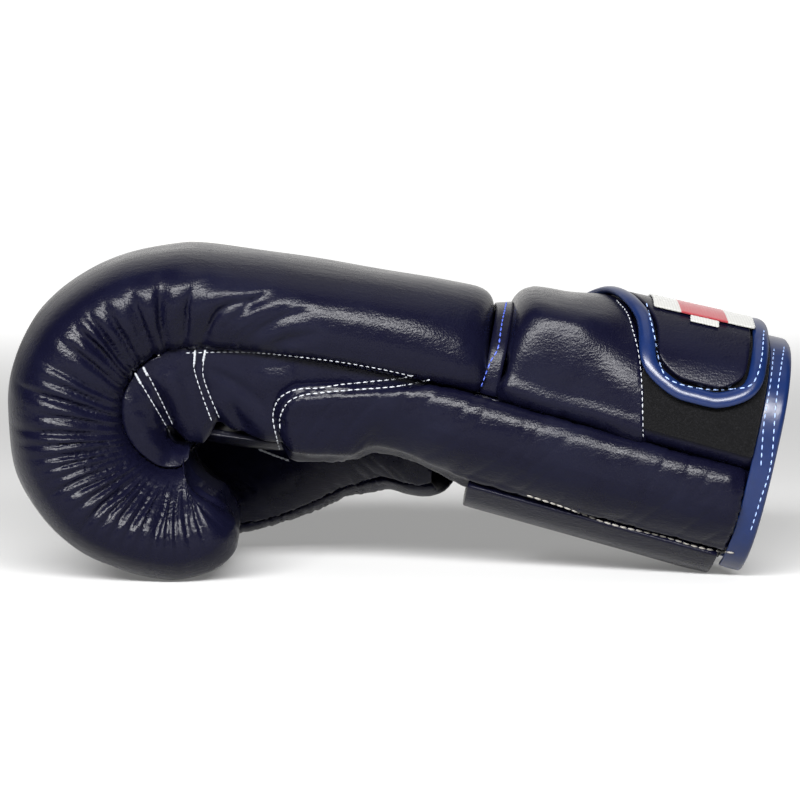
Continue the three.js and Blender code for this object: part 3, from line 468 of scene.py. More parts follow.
def gathers(along, share, seed):
    """How far the leather is drawn in, in millimetres, below its outside."""
    chance = np.random.default_rng(seed)
    along = along + share * np.interp(along, LEAN["along"], LEAN["lean_mm"])
    along = along + 1.1 * waves(np.stack([along / 17, share * 3.0, share * 0], 1), seed)
    lines = [float(GATHER_FROM)]
    while lines[-1] < GATHER_TO:
        pitch = np.interp(lines[-1], GATHERS["along"], GATHERS["pitch_mm"])
        lines.append(lines[-1] + pitch * chance.uniform(0.7, 1.3))
    lines = np.array(lines)
    reach = chance.uniform(0.78, 1.0, len(lines)) * np.interp(lines, GATHERS["along"], GATHERS["reach"])
    strength = chance.uniform(0.65, 1.0, len(lines)) * np.interp(lines, GATHERS["along"], GATHERS["depth_mm"])
    strength = strength * fade(lines, GATHER_FROM - 4, GATHER_FROM + 14)
    after = np.clip(np.searchsorted(lines, along), 1, len(lines) - 1)
    before = after - 1
    gap = lines[after] - lines[before]
    t = np.clip((along - lines[before]) / gap, 0, 1)
    held = 0.35 + 0.65 * fade(share, 0, 0.3)

    def depth(line):
        return strength[line] * fade(share, reach[line], reach[line] * 0.5)

    drawn = depth(before) * (1 - t) + depth(after) * t
    ridge = (4 * t * (1 - t)) ** 0.85
    # A shallow crease splits most ridges near the seam.
    split = chance.uniform(0.35, 0.65, len(lines))[after]
    crease = 0.28 * chance.uniform(0, 1, len(lines))[after] * fade(share, 0.62, 0.1)
    ridge = ridge - crease * np.exp(-(((t - split) * gap / 0.8) ** 2))
    inside = (along > GATHER_FROM) & (along < GATHER_TO)
    return held * drawn * (1.1 * ridge - 1) * inside


print("gathers from", GATHER_FROM, "to", GATHER_TO, "mm along the fist")

# %% Foam of the padding
padding = remeshed("back_padding", "back_pad", 1.05, 2)
points, normals = read_mesh(padding)
along, share = fist_places(points)
side = np.abs(points[:, 1] - CENTRE_Y) / MM
smoothed_where(padding, (along > -45) & (share < 0.85) & (side > 20), 14)
print("padding", len(padding.data.vertices), "vertices")

# %% Gathers and long folds
# How much fuller or flatter than the plain solid the side is, in millimetres, at each share of the way out:
# over the knuckles, under the curled fingers, and along the straight back of the hand.
SHARES = [0, 0.1, 0.22, 0.35, 0.48, 0.6, 0.72, 0.84, 0.93, 1.0]
KNUCKLE_FULL = [-0.4, -1.4, -1.5, -0.8, 0.0, 0.7, 1.0, 0.7, 0.3, 0]
FINGER_FULL = [-0.8, -3.0, -3.6, -3.0, -1.4, 1.4, 4.6, 5.6, 3.2, 0]
HAND_FULL = [1.0, 2.4, 1.6, 0.6, 0.0, -0.3, -0.3, 0.0, 0.0, 0]
points, normals = read_mesh(padding)
along, share = fist_places(points)
side = np.abs(points[:, 1] - CENTRE_Y) / MM
on_side = fade(side, 20, 38)
outside = fade(share, -0.06, 0.0)
on_fist = fade(along, -55, -5)
on_fingers = fade(along, 80, 140)
little = points[:, 1] < CENTRE_Y
push = np.where(little, gathers(along, share, 31), gathers(along, share, 47)) * on_side * outside
full = np.interp(share, SHARES, KNUCKLE_FULL) * on_fist * (1 - on_fingers)
full += (
    np.interp(share, SHARES, FINGER_FULL) * on_fingers
    + np.interp(share, SHARES, HAND_FULL) * (1 - on_fist)
)
push += full * on_side * outside
push += 0.6 * waves(points / (38 * MM), 5) * outside
# Three long soft folds run from the knuckles towards the wrist.
LONG_FOLDS = [
    [(214, 344), (232, 322), (254, 303), (284, 294)],
    [(234, 348), (258, 332), (286, 316), (322, 310)],
    [(258, 350), (290, 339), (330, 331)],
]
picture = seen_from_little_side(points)
for line in LONG_FOLDS:
    push += fold(picture, line, -1.7, 6, taper=0.45) * on_side
# Where the straight seam pulls at the leather there is a row of short puckers.
PAD_SEAM = [(190, 350), (250, 350), (300, 355), (350, 364), (415, 378), (480, 390)]
push += puckers(picture, PAD_SEAM, 0.5, 7, 5, 7) * on_side * fade(along, 0, -20)
points += normals * (push * MM)[:, None]
print("pushed", push.min(), "to", push.max(), "mm")

# %% Hem and fingertips
# The hem is pulled down on to the panel it is sewn to.
HEM_PULL_MM = 1.1
hem = fade(share, 0.14, 0.02) * outside * on_side
inwards = np.stack([np.where(along < 0, 0, CROOK_X - points[:, 0]), CROOK_Z - points[:, 2]], 1)
inwards /= np.maximum(np.hypot(*inwards.T), 1e-6)[:, None]
points[:, 0] += inwards[:, 0] * hem * HEM_PULL_MM * MM
points[:, 2] += inwards[:, 1] * hem * HEM_PULL_MM * MM
# The fingertips' end slants, so the hand shows past it: degrees turned back, by distance from the crook.
TIP_SLANT = {"mm": [8, 14, 20, 29], "degrees": [24, 19, 11, 0]}
x = points[:, 0] - CROOK_X
z = points[:, 2] - CROOK_Z
angle = np.degrees(np.arctan2(z, x)) % 360
back = np.interp(np.hypot(x, z) / MM, TIP_SLANT["mm"], TIP_SLANT["degrees"]) * fade(angle, 258, 300)
turn = np.radians(angle - back * (angle > 250))
points[:, 0] = CROOK_X + np.hypot(x, z) * np.cos(turn)
points[:, 2] = CROOK_Z + np.hypot(x, z) * np.sin(turn)
write_mesh(padding, points)
# Each point keeps its place among the gathers, so the fine creases of the hide can follow them.
placed = padding.data.attributes.new("fold_place", "FLOAT_VECTOR", "POINT")
creased = fade(share, 0.95, 0.3) * on_side * outside * fade(along, -60, -10)
lean = share * np.interp(along, LEAN["along"], LEAN["lean_mm"])
fold_places = np.stack([along + lean, share * 12, creased], 1).astype(np.float32)
placed.data.foreach_set("vector", fold_places.reshape(-1))
shade_smooth(padding)
print("padding shaped, fingertips turned back by up to", back.max(), "degrees")

# %% [markdown]
# ## Side panels and palm
# These are single layers of leather over a thin lining. Double rows of stitches hold each side panel in two
# places, and between them it puffs out over the knuckles of the little finger. Where the hand closes, the
# panel and the palm leather bunch up and sag into the crook. The lines below are where the photograph shows
# the valleys and ridges of that.

# %% Stitched rows of the side panel
ROW_A = [(137, 376), (142, 385), (155, 407), (169, 431)]
ROW_A2 = [(145, 369), (153, 384), (163, 404), (173, 425)]
ROW_B = [(195, 354), (194, 368), (201, 392), (212, 422)]
ROW_B2 = [(205, 353), (203, 374), (210, 396), (219, 417)]
PANEL_FOLDS = [
    # line, height in millimetres, width in pixels
    ([(141, 371), (158, 398), (171, 428)], -1.5, 6),
    ([(200, 350), (199, 372), (206, 396), (216, 422)], -1.7, 6),
    ([(158, 366), (172, 384), (186, 412), (192, 436)], 2.1, 13),
    ([(128, 384), (130, 412), (146, 440), (166, 458)], 1.2, 10),
    ([(180, 366), (188, 386), (193, 414)], -0.9, 5),
    ([(206, 368), (236, 384), (272, 404)], -1.5, 4),
    ([(258, 374), (280, 379), (300, 377)], 1.2, 13),
    ([(214, 392), (230, 416), (252, 436), (272, 440)], 1.9, 8),
    ([(226, 398), (238, 412), (252, 420)], -1.4, 6),
    ([(300, 362), (270, 366), (236, 366)], -0.8, 5),
]
SAG = {
    "px": [165, 176, 190, 204, 211, 217, 224, 240, 264, 285, 310],
    "mm": [0, 7, 11, 12, 8, 2, 1.5, 4, 7.5, 7, 3],
}
PALM_SAG = {"px": [165, 180, 195, 210, 235, 264, 285, 310], "mm": [0, 2, 5.5, 8, 8, 8, 7, 3]}


def panel(node, name, seed):
    piece = rounded(node, name, 3, crease=0.5)
    points, normals = read_mesh(piece)
    picture = seen_from_little_side(points)
    push = 0.25 * waves(points / (7 * MM), seed) + 0.12 * waves(points / (3 * MM), seed + 1)
    on_hand = fade(picture[:, 0], 420, 340)
    for line, height, width in PANEL_FOLDS:
        push += fold(picture, line, height, width) * on_hand
    for row in (ROW_A, ROW_A2, ROW_B, ROW_B2):
        push += puckers(picture, row, 0.5, 5, 3.5, seed + 2)
    seam_y = np.interp(picture[:, 0], *np.array(PAD_SEAM).T)
    push *= fade(picture[:, 1] - seam_y, -2, 8)
    low = fade(picture[:, 1] - seam_y, 30, 66) * (points[:, 2] > CROOK_Z - 2 * MM)
    points[:, 2] -= np.interp(picture[:, 0], SAG["px"], SAG["mm"]) * MM * low
    # Its upper edge is tucked well under the padding.
    tuck = 2 + 1.6 * fade(picture[:, 0], 138, 150) * fade(picture[:, 0], 186, 174)
    points[:, 2] += tuck * MM * fade(picture[:, 1] - seam_y, 6, 0) * fade(picture[:, 0], 125, 145) * on_hand
    write_mesh(piece, points + normals * (push * MM)[:, None])
    shade_smooth(piece)
    return piece


little_side = panel("little_finger_side", "little_finger_gusset", 11)
thumb_side = panel("thumb_side", "thumb_gusset", 13)
print("side panels", len(little_side.data.vertices), len(thumb_side.data.vertices))


# %% Palm, tongue and wrist band
def puckered(node, name, amount, length_mm, seed, levels=2):
    """A thin panel whose surface waves by amount millimetres."""
    piece = rounded(node, name, levels, crease=0.5)
    points, normals = read_mesh(piece)
    ripple = waves(points / (length_mm * MM), seed) + 0.5 * waves(points / (length_mm * 0.45 * MM), seed + 1)
    write_mesh(piece, points + normals * (ripple * amount * MM)[:, None])
    shade_smooth(piece)
    return piece


palm = puckered("palm_panel", "palm_leather", 0.5, 11, 15, levels=3)
points, normals = read_mesh(palm)
picture = seen_from_little_side(points)
upper = (points[:, 2] > CROOK_Z - 1 * MM) | (points[:, 0] > CROOK_X + 12 * MM)
points[:, 2] -= np.interp(picture[:, 0], PALM_SAG["px"], PALM_SAG["mm"]) * MM * upper
rim_side = fade(np.abs(points[:, 1] - CENTRE_Y), 18 * MM, 34 * MM) * fade(picture[:, 0], 330, 290)
points[:, 1] -= np.sign(points[:, 1] - CENTRE_Y) * 4 * MM * rim_side
write_mesh(palm, points)
tongue = puckered("palm_tongue", "wrist_tongue", 0.4, 16, 17)
strip = puckered("wrist_seam_strip", "wrist_band", 0.15, 8, 19)
print("thin panels", [len(o.data.vertices) for o in (palm, tongue, strip)])

# %% [markdown]
# ## Padded cuff and thumb
# The back of the cuff, the rolls on its two sides and the thumb are foam in leather again. They are remeshed
# and smoothed like the big pad, and creased where they bend and along their seams. The creases of the roll
# run slantwise over it, as leather does that is bent with the wrist, so their noise is stretched that way.


# %% Helpers for pads
def slanted(points, across_mm, along_mm, degrees):
    """Coordinates for long thin creases that lean by some degrees in the side view."""
    lean = math.radians(degrees)
    run = points[:, 0] * math.cos(lean) + points[:, 2] * math.sin(lean)
    rise = points[:, 2] * math.cos(lean) - points[:, 0] * math.sin(lean)
    return np.stack([run / (along_mm * MM), rise / (across_mm * MM), points[:, 1] / (along_mm * MM)], 1)


def soft_pad(node, name, voxel_mm, rounds, lump_mm, crease_mm, across_mm, degrees, seed):
    """A foam pad in leather; returns it with its points, normals and the push so far."""
    piece = remeshed(node, name, voxel_mm, rounds)
    points, normals = read_mesh(piece)
    push = lump_mm * waves(points / (24 * MM), seed)
    push -= crease_mm * creases(slanted(points, across_mm, across_mm * 4, degrees), seed + 1, 6)
    return piece, points, normals, push


def pushed(piece, points, normals, push):
    write_mesh(piece, points + normals * (push * MM)[:, None])
    shade_smooth(piece)
    return piece


print("pad helpers ready")

# %% Back of the cuff
ROLL_SEAM = [(432, 378), (472, 388), (512, 400), (542, 411), (579, 420), (620, 431), (643, 438), (760, 468)]
CUFF_ROW = [(617, 301), (627, 313), (633, 331), (639, 356), (642, 391), (643, 438)]
cuff, cuff_points, cuff_normals, cuff_push = soft_pad(
    "cuff_back", "cuff_back_pad", 1.3, 5, 0.3, 0.25, 16, -40, 21
)
picture = seen_from_little_side(cuff_points)
cuff_push = cuff_push + puckers(picture, ROLL_SEAM, 0.5, 9, 6, 22)
above_seam = [(px, py - 12) for px, py in ROLL_SEAM]
cuff_push += fold(picture, above_seam, 2.4, 8, taper=0.03)
# Its side is flatter than the plain solid's and turns over to the top in a tighter bend, up to the strap.
CUFF_TOP = [(521, 281), (600, 296), (760, 322)]
CUFF_FULL = {
    "down": [0, 0.08, 0.16, 0.26, 0.38, 0.5, 0.62, 0.75, 1],
    "mm": [0, 0.3, 0.5, 0.6, 0.7, 0.6, 0.5, 0.2, 0],
}
CUFF_SIDE_MM = 50.4  # from the middle of the cuff to its flat side
top = np.interp(picture[:, 0], *np.array(CUFF_TOP).T)
seam = np.interp(picture[:, 0], *np.array(ROLL_SEAM).T)
down = (picture[:, 1] - top) / (seam - top)
cuff_push += np.interp(down, CUFF_FULL["down"], CUFF_FULL["mm"]) * fade(picture[:, 0], 610, 575)
EDGE_DROP_MM = 1.8  # its lower edge reaches down to the roll
cuff_points[:, 2] -= EDGE_DROP_MM * MM * fade(down, 0.9, 0.98) * fade(down, 1.3, 1.1)
side_y = CENTRE_Y + (-CUFF_SIDE_MM + 0.5 * ((down - 0.5) / 0.45) ** 2) * MM
STRAP_EDGE = [(590, 284), (604, 290), (617, 297), (631, 315), (639, 342), (648, 374), (658, 391)]
strap_edge_x = np.interp(picture[:, 1], *np.array([(py, px) for px, py in STRAP_EDGE]).T)
flat = 0.8 * fade(down, -0.1, 0.28) * fade(down, 0.88, 0.6) * fade(-cuff_normals[:, 1], -0.1, 0.6)
flat *= fade(strap_edge_x - picture[:, 0], 4, 58) * fade(picture[:, 0], 496, 548)
cuff_points[:, 1] += flat * (side_y - cuff_points[:, 1])
cuff_push += fold(picture, [(507, 352), (503, 372), (501, 392)], -1.6, 3)
# Its leather is folded over the edge of the loop tape.
HEM_FOLD_MM = 3
tape_edge = np.interp(picture[:, 1], *np.array([(py, px) for px, py in CUFF_ROW]).T)
cuff_push += HEM_FOLD_MM * fade(picture[:, 0] - tape_edge, 3, 0) * fade(tape_edge - picture[:, 0], 55, 6)
pushed(cuff, cuff_points, cuff_normals, cuff_push)
open_side = (cuff_normals[:, 1] < 0.1) & (down > -0.2) & (down < 0.72) & (picture[:, 0] < strap_edge_x - 16)
smoothed_where(cuff, open_side, 14)
print("cuff", len(cuff.data.vertices), "vertices,", int(open_side.sum()), "of them smoothed")

# %% Rolls beside the wrist
ROLL_ROW = [
    (411, 376), (396, 379), (367, 382), (339, 385), (320, 388), (301, 389), (287, 393), (277, 402),
    (273, 418), (277, 439), (281, 455),
]
ROLL_ROW2 = [
    (428, 380), (411, 384), (392, 387), (367, 389), (339, 391), (320, 393), (304, 395), (291, 400),
    (284, 408), (280, 418), (280, 427),
]
little_roll, roll_points, roll_normals, roll_push = soft_pad(
    "wrist_pad_little", "little_finger_roll", 1.1, 3, 0.5, 0.45, 9, 48, 23
)
picture = seen_from_little_side(roll_points)
roll_push = roll_push + puckers(picture, ROLL_SEAM, 0.4, 9, 5, 24)
roll_push += puckers(picture, ROLL_ROW2, 0.6, 8, 4, 25)
roll_push += fold(picture, ROLL_ROW, -1.0, 4, taper=0.02) + fold(picture, ROLL_ROW2, -1.0, 4, taper=0.02)
# The roll is rounder than its plain solid, and fullest half way down.
upper = np.interp(picture[:, 0], *np.array(ROLL_SEAM).T)
down = (picture[:, 1] - upper) / 88
outer = fade(picture[:, 0], 400, 450) * fade(picture[:, 0], 772, 748)
clear_of_end = fade(roll_normals[:, 0], 0.6, 0.25)
ROLL_FULL = {
    "down": [-0.1, 0, 0.12, 0.25, 0.4, 0.55, 0.7, 0.85, 1],
    "mm": [-0.4, 0.6, 1.8, 2.8, 3.4, 3.8, 3.3, 1.8, 0],
}
roll_push += np.interp(down, ROLL_FULL["down"], ROLL_FULL["mm"]) * outer * clear_of_end
# Two short creases cross its lower edge over the heel.
first_crease = fold(picture, [(334, 450), (344, 456), (350, 462)], -1.4, 3)
second_crease = fold(picture, [(343, 448), (352, 453), (358, 458)], -1.2, 3)
roll_push += first_crease + second_crease
# Its front end hangs down over the heel of the palm, and its other end stays clear of the rim.
HEEL_SAG_MM = 5.5
RIM_ROOM_MM = 1.8
heel = fade(picture[:, 1], 412, 448) * fade(picture[:, 0], 272, 296) * fade(picture[:, 0], 378, 345)
roll_points = roll_points - np.array([0, 0, 1]) * (HEEL_SAG_MM * MM * heel)[:, None]
roll_points[:, 1] += RIM_ROOM_MM * MM * fade(picture[:, 0], 728, 746)
pushed(little_roll, roll_points, roll_normals, roll_push)
thumb_roll = pushed(*soft_pad("wrist_pad_thumb", "thumb_roll", 1.2, 3, 0.5, 0.45, 9, 48, 26))
print("rolls", [len(o.data.vertices) for o in (little_roll, thumb_roll)])

# %% Thumb
THUMB_WRINKLES = [
    [(186, 468), (208, 480), (232, 498)],
    [(192, 476), (214, 490), (236, 508)],
    [(203, 470), (224, 482), (246, 500)],
    [(198, 486), (214, 498), (228, 512)],
    [(212, 466), (232, 478), (256, 492)],
]
THUMB_SEAM = [(228, 519), (264, 519), (293, 516), (312, 508), (340, 493), (379, 472)]
thumb_back, back_points, back_normals, back_push = soft_pad(
    "thumb_outer", "thumb_back", 1.3, 5, 0.4, 0.3, 12, 15, 27
)
back_push = back_push + puckers(picture_places(back_points), THUMB_SEAM, 1.2, 14, 6, 28)
# Its root hangs a little lower in front of the strap.
ROOT_DROP = {"px": [345, 375, 405, 430, 470, 520], "mm": [0, 2.5, 4.5, 5, 4.5, 0]}


def root_drop(points):
    """The points with the thumb's root let down."""
    px = picture_places(points)[:, 0]
    low = fade(points[:, 2], 62 * MM, 45 * MM)
    drop = np.interp(px, ROOT_DROP["px"], ROOT_DROP["mm"]) * MM * low
    return points - np.array([0, 0, 1]) * drop[:, None]


pushed(thumb_back, root_drop(back_points), back_normals, back_push)
thumb_face, face_points, face_normals, face_push = soft_pad(
    "thumb_inner", "thumb_face", 1.2, 4, 0.4, 0.5, 7, -35, 29
)
picture = picture_places(face_points)
face_push = face_push + puckers(picture, THUMB_SEAM, 0.8, 10, 6, 30)
for line in THUMB_WRINKLES:
    face_push += fold(picture, line, -1.2, 2.6)
pushed(thumb_face, root_drop(face_points), face_normals, face_push)
print("thumb", len(thumb_back.data.vertices), len(thumb_face.data.vertices))

# %% [markdown]
# ## Strap and trim
# The strap, its vinyl binding, the loop tape, the label and the binding of the cuff are flat goods of even
# thickness. Subdividing rounds their edges just as a folded edge is round.


# %% Strap and trim
def flat_piece(node, name, levels, crease):
    piece = rounded(node, name, levels, crease)
    shade_smooth(piece)
    return piece


strap = flat_piece("strap", "wrist_strap", 3, 0.6)
strap_edge = flat_piece("strap_binding", "strap_piping", 3, 0.0)
tape = flat_piece("loop_tape", "loop_tape_pile", 3, 0.7)
label = flat_piece("strap_label", "label_patch", 3, 0.9)
tag = flat_piece("size_tag", "side_tag", 3, 0.9)
rim = flat_piece("cuff_binding", "cuff_rim", 3, 0.45)
print("trim", [len(o.data.vertices) for o in (strap, strap_edge, tape, label, tag, rim)])

# %% [markdown]
# ## Leather
# The hide is dark navy, finished with a clear glossy coat. Up close it has a fine pebble of about a
# millimetre, thin creases where it has bent, and patches that are rubbed a little duller. The pebble is a
# cell pattern in real millimetres, the creases a stretched noise, and both only bend the light. A real finish
# has an IOR near 1.5. Here it is 1.22, which keeps the pale board's mirror image in the leather that faces
# down as dark as the photograph shows it.


# %% Leather material
def pebbled_leather(name, colour, worn_colour, roughness, pebble_mm=0.9):
    """Full-grain leather with a glossy finish: cells for the grain, noise for creases and wear."""
    material, tree = new_material(name)
    where = add_node(tree, "ShaderNodeTexCoord").outputs["Object"]
    wear = add_node(tree, "ShaderNodeTexNoise", Vector=where, Scale=26.0, Detail=6.0, Roughness=0.65)
    worn = add_node(tree, "ShaderNodeMapRange", Value=wear.outputs[0], From_Min=0.45, From_Max=0.75)
    tint = mixed(tree, worn.outputs[0], linear(colour), linear(worn_colour))
    gloss = add_node(
        tree, "ShaderNodeMapRange", Value=wear.outputs[0], From_Min=0.3, From_Max=0.8,
        To_Min=roughness - 0.05, To_Max=roughness + 0.1,
    )
    cells = add_node(tree, "ShaderNodeTexVoronoi", Vector=where, Scale=1000 / pebble_mm)
    grain = add_node(
        tree, "ShaderNodeBump", Height=cells.outputs["Distance"], Distance=0.1 * MM, Strength=0.6
    )
    spokes = add_node(tree, "ShaderNodeAttribute", {"attribute_name": "fold_place"}).outputs["Vector"]
    fine = add_node(tree, "ShaderNodeTexNoise", Vector=spokes, Scale=0.7, Detail=3.0, Distortion=0.3)
    held = add_node(tree, "ShaderNodeSeparateXYZ", Vector=spokes).outputs["Z"]
    drawn = add_node(
        tree, "ShaderNodeBump", Height=product(tree, fine.outputs[0], held), Distance=0.7 * MM, Strength=0.35,
        Normal=grain.outputs[0],
    )
    stretched = add_node(
        tree, "ShaderNodeMapping", Vector=where, Rotation=(0, 0.6, 0), Scale=(0.35, 0.7, 1.0)
    )
    lines = add_node(
        tree, "ShaderNodeTexNoise", Vector=stretched.outputs[0], Scale=420.0, Detail=4.0, Roughness=0.6,
        Distortion=0.8,
    )
    creased = add_node(
        tree, "ShaderNodeBump", Height=lines.outputs[0], Distance=0.4 * MM, Strength=0.42,
        Normal=drawn.outputs[0],
    )
    shader = add_node(
        tree, "ShaderNodeBsdfPrincipled", Base_Color=tint, Roughness=gloss.outputs[0], IOR=1.22,
        Normal=creased.outputs[0],
    )
    return finish_material(material, tree, shader)


navy_leather = pebbled_leather("navy_full_grain_leather", "#070715", "#0b0c1b", 0.27)
dull_leather = pebbled_leather("navy_palm_leather", "#070711", "#0b0c17", 0.34)
navy_pieces = [
    padding, little_side, thumb_side, strip, cuff, little_roll, thumb_roll, thumb_back, thumb_face, strap,
]
for piece in navy_pieces:
    piece.data.materials.append(navy_leather)
for piece in (palm, tongue):
    piece.data.materials.append(dull_leather)
print("leather on")

# %% [markdown]
# ## Vinyl, loop pile, woven cloth and thread
# The binding is soft vinyl film, bright blue, with a wet gloss and hardly any grain. The loop tape is nylon
# pile: thousands of tiny loops that catch no light, so it reads as a rough black field. The label is a tight
# white satin weave with one plain red bar woven in.


# %% Trim materials
def vinyl_film(name, colour):
    """Plasticised vinyl: smooth, strongly coloured, wet-looking, with soft stretch marks."""
    material, tree = new_material(name)
    where = add_node(tree, "ShaderNodeTexCoord").outputs["Object"]
    stretch = add_node(tree, "ShaderNodeTexNoise", Vector=where, Scale=260.0, Detail=3.0)
    bent = add_node(tree, "ShaderNodeBump", Height=stretch.outputs[0], Distance=0.3 * MM, Strength=0.25)
    tone = mixed(tree, stretch.outputs[0], linear(colour), linear("#0b1c43"))
    shader = add_node(
        tree, "ShaderNodeBsdfPrincipled", Base_Color=tone, Roughness=0.28, IOR=1.4,
        Normal=bent.outputs[0],
    )
    return finish_material(material, tree, shader)


def nylon_loops(name):
    """Brushed nylon loop tape: a fuzzy black pile, drawn at about 0.7 mm so that it shows."""
    material, tree = new_material(name)
    where = add_node(tree, "ShaderNodeTexCoord").outputs["Object"]
    pile = add_node(tree, "ShaderNodeTexNoise", Vector=where, Scale=1400.0, Detail=2.0, Roughness=0.8)
    clumps = add_node(tree, "ShaderNodeTexNoise", Vector=where, Scale=160.0, Detail=2.0)
    lifted = add_node(tree, "ShaderNodeBump", Height=pile.outputs[0], Distance=0.8 * MM, Strength=0.9)
    matted = add_node(
        tree, "ShaderNodeBump", Height=clumps.outputs[0], Distance=1.0 * MM, Strength=0.4,
        Normal=lifted.outputs[0],
    )
    tips = add_node(tree, "ShaderNodeMapRange", Value=pile.outputs[0], From_Min=0.48, From_Max=0.72)
    tone = mixed(tree, tips.outputs[0], linear("#010102"), linear("#101012"))
    shader = add_node(
        tree, "ShaderNodeBsdfPrincipled", Base_Color=tone, Roughness=0.95, Specular_IOR_Level=0.12,
        Sheen_Weight=0.05, Normal=matted.outputs[0],
    )
    return finish_material(material, tree, shader)


def woven_satin(name, colour, shadow, bar=None, thread_mm=1.2):
    """Polyester satin ribbon: threads one way, drawn coarse so that they show, and one plain bar woven in."""
    material, tree = new_material(name)
    where = add_node(tree, "ShaderNodeTexCoord").outputs["Object"]
    threads = add_node(
        tree, "ShaderNodeTexWave", {"wave_type": "BANDS", "bands_direction": "X"}, Vector=where,
        Scale=2 * math.pi * 1000 / thread_mm / 20, Distortion=0.4, Detail=1.0,
    )
    tone = mixed(tree, threads.outputs[1], linear(shadow), linear(colour))
    if bar:
        start, end, red = bar
        across = add_node(tree, "ShaderNodeSeparateXYZ", Vector=where).outputs["X"]
        inside = product(
            tree, stepped(tree, across, start - 0.2 * MM, start + 0.2 * MM),
            stepped(tree, across, end - 0.2 * MM, end + 0.2 * MM, 1, 0),
        )
        tone = mixed(tree, inside, tone, linear(red))
    ribbed = add_node(tree, "ShaderNodeBump", Height=threads.outputs[1], Distance=0.05 * MM, Strength=0.4)
    shader = add_node(
        tree, "ShaderNodeBsdfPrincipled", Base_Color=tone, Roughness=0.6, Sheen_Weight=0.2,
        Normal=ribbed.outputs[0],
    )
    return finish_material(material, tree, shader)


def bonded_thread(name, colour):
    """Bonded nylon thread: a slight shine, broken by the fine ripple of its twist."""
    material, tree = new_material(name)
    where = add_node(tree, "ShaderNodeTexCoord").outputs["Object"]
    twist = add_node(tree, "ShaderNodeTexNoise", Vector=where, Scale=1500.0)
    ply = add_node(tree, "ShaderNodeBump", Height=twist.outputs[0], Distance=0.1 * MM, Strength=0.4)
    shader = add_node(
        tree, "ShaderNodeBsdfPrincipled", Base_Color=linear(colour), Roughness=0.5, Normal=ply.outputs[0]
    )
    return finish_material(material, tree, shader)


blue_vinyl = vinyl_film("blue_vinyl_binding", "#071535")
black_loops = nylon_loops("black_loop_pile")
label_low, label_high = box_of("strap_label")
label_length = label_high.x - label_low.x
BAR = (label_low.x + 0.28 * label_length, label_low.x + 0.72 * label_length, "#7d1620")
# Under this light the satin's light grey reads as white.
white_satin = woven_satin("white_satin_ribbon", "#9a9a97", "#8d8d8a")
striped_satin = woven_satin("striped_satin_label", "#9a9a97", "#8d8d8a", bar=BAR)
white_thread = bonded_thread("white_nylon_thread", "#93969b")
pale_thread = bonded_thread("pale_blue_nylon_thread", "#7d92ba")
# The chain stitch's pale thread is given a darker grey as painted shade, for the shadow it lies in under the
# roll.
painted_shade_thread = bonded_thread("pale_nylon_thread_painted_shade", "#74716c")
blue_thread = bonded_thread("royal_blue_nylon_thread", "#34479a")
strap_edge.data.materials.append(blue_vinyl)
rim.data.materials.append(blue_vinyl)
tape.data.materials.append(black_loops)
label.data.materials.append(striped_satin)
tag.data.materials.append(white_satin)
print("trim finished")

# %% [markdown]
# ## Thread
# Every row of stitches is real thread on the leather, one small bead for each stitch. The rows on the side
# that the picture shows are laid where the picture shows them: a ray from the camera through each point
# lands on the leather. Those of the fist's side panel and its seam are mirrored to the other side, where each
# point is drawn to the nearest leather.


# %% Laying stitches
def surface_of(pieces):
    """One search tree over the outside of several pieces."""
    corners = []
    faces = []
    base = 0
    for piece in pieces:
        corners += [vertex.co.copy() for vertex in piece.data.vertices]
        faces += [[base + i for i in polygon.vertices] for polygon in piece.data.polygons]
        base = len(corners)
    return BVHTree.FromPolygons(corners, faces)


def rounded_path(spots, step=2.0):
    """Points along a smooth curve through picture points, about step pixels apart."""
    spots = [Vector((*spot, 0)) for spot in spots]
    ends = [spots[0] * 2 - spots[1], *spots, spots[-1] * 2 - spots[-2]]
    path = []
    for a, b, c, d in zip(ends, ends[1:], ends[2:], ends[3:]):
        count = max(2, round((c - b).length / step))
        for i in range(count):
            t = i / count
            squared = (2 * a - 5 * b + 4 * c - d) * t * t
            cubed = (3 * b - a - 3 * c + d) * t**3
            path.append(0.5 * (2 * b + (c - a) * t + squared + cubed))
    path.append(spots[-1])
    return path


def laid_by_picture(spots, leather):
    """Where rays through a row of picture points meet the leather, with the normals there."""
    landed = []
    for spot in rounded_path(spots):
        at, normal, _, _ = leather.ray_cast(camera.location, picture_ray(spot.x, spot.y))
        if at is not None:
            landed.append((at, normal))
    return landed


def mirrored_row(landed, leather):
    """The same row on the other side of the glove."""
    row = []
    for at, _ in landed:
        across = Vector((at.x, 2 * CENTRE_Y - at.y, at.z))
        nearest, normal, _, _ = leather.find_nearest(across, 0.012)
        if nearest is not None:
            row.append((nearest, normal))
    return row


def spaced(landed, pitch):
    """Places at an even pitch along a row, each with its direction and normal."""
    places = []
    carried = 0.0
    for (a, normal), (b, _) in zip(landed, landed[1:]):
        length = (b - a).length
        if length < 1e-7 or length > 0.012:
            continue
        while carried < length:
            places.append((a.lerp(b, carried / length), (b - a) / length, normal))
            carried += pitch
        carried -= length
    return places


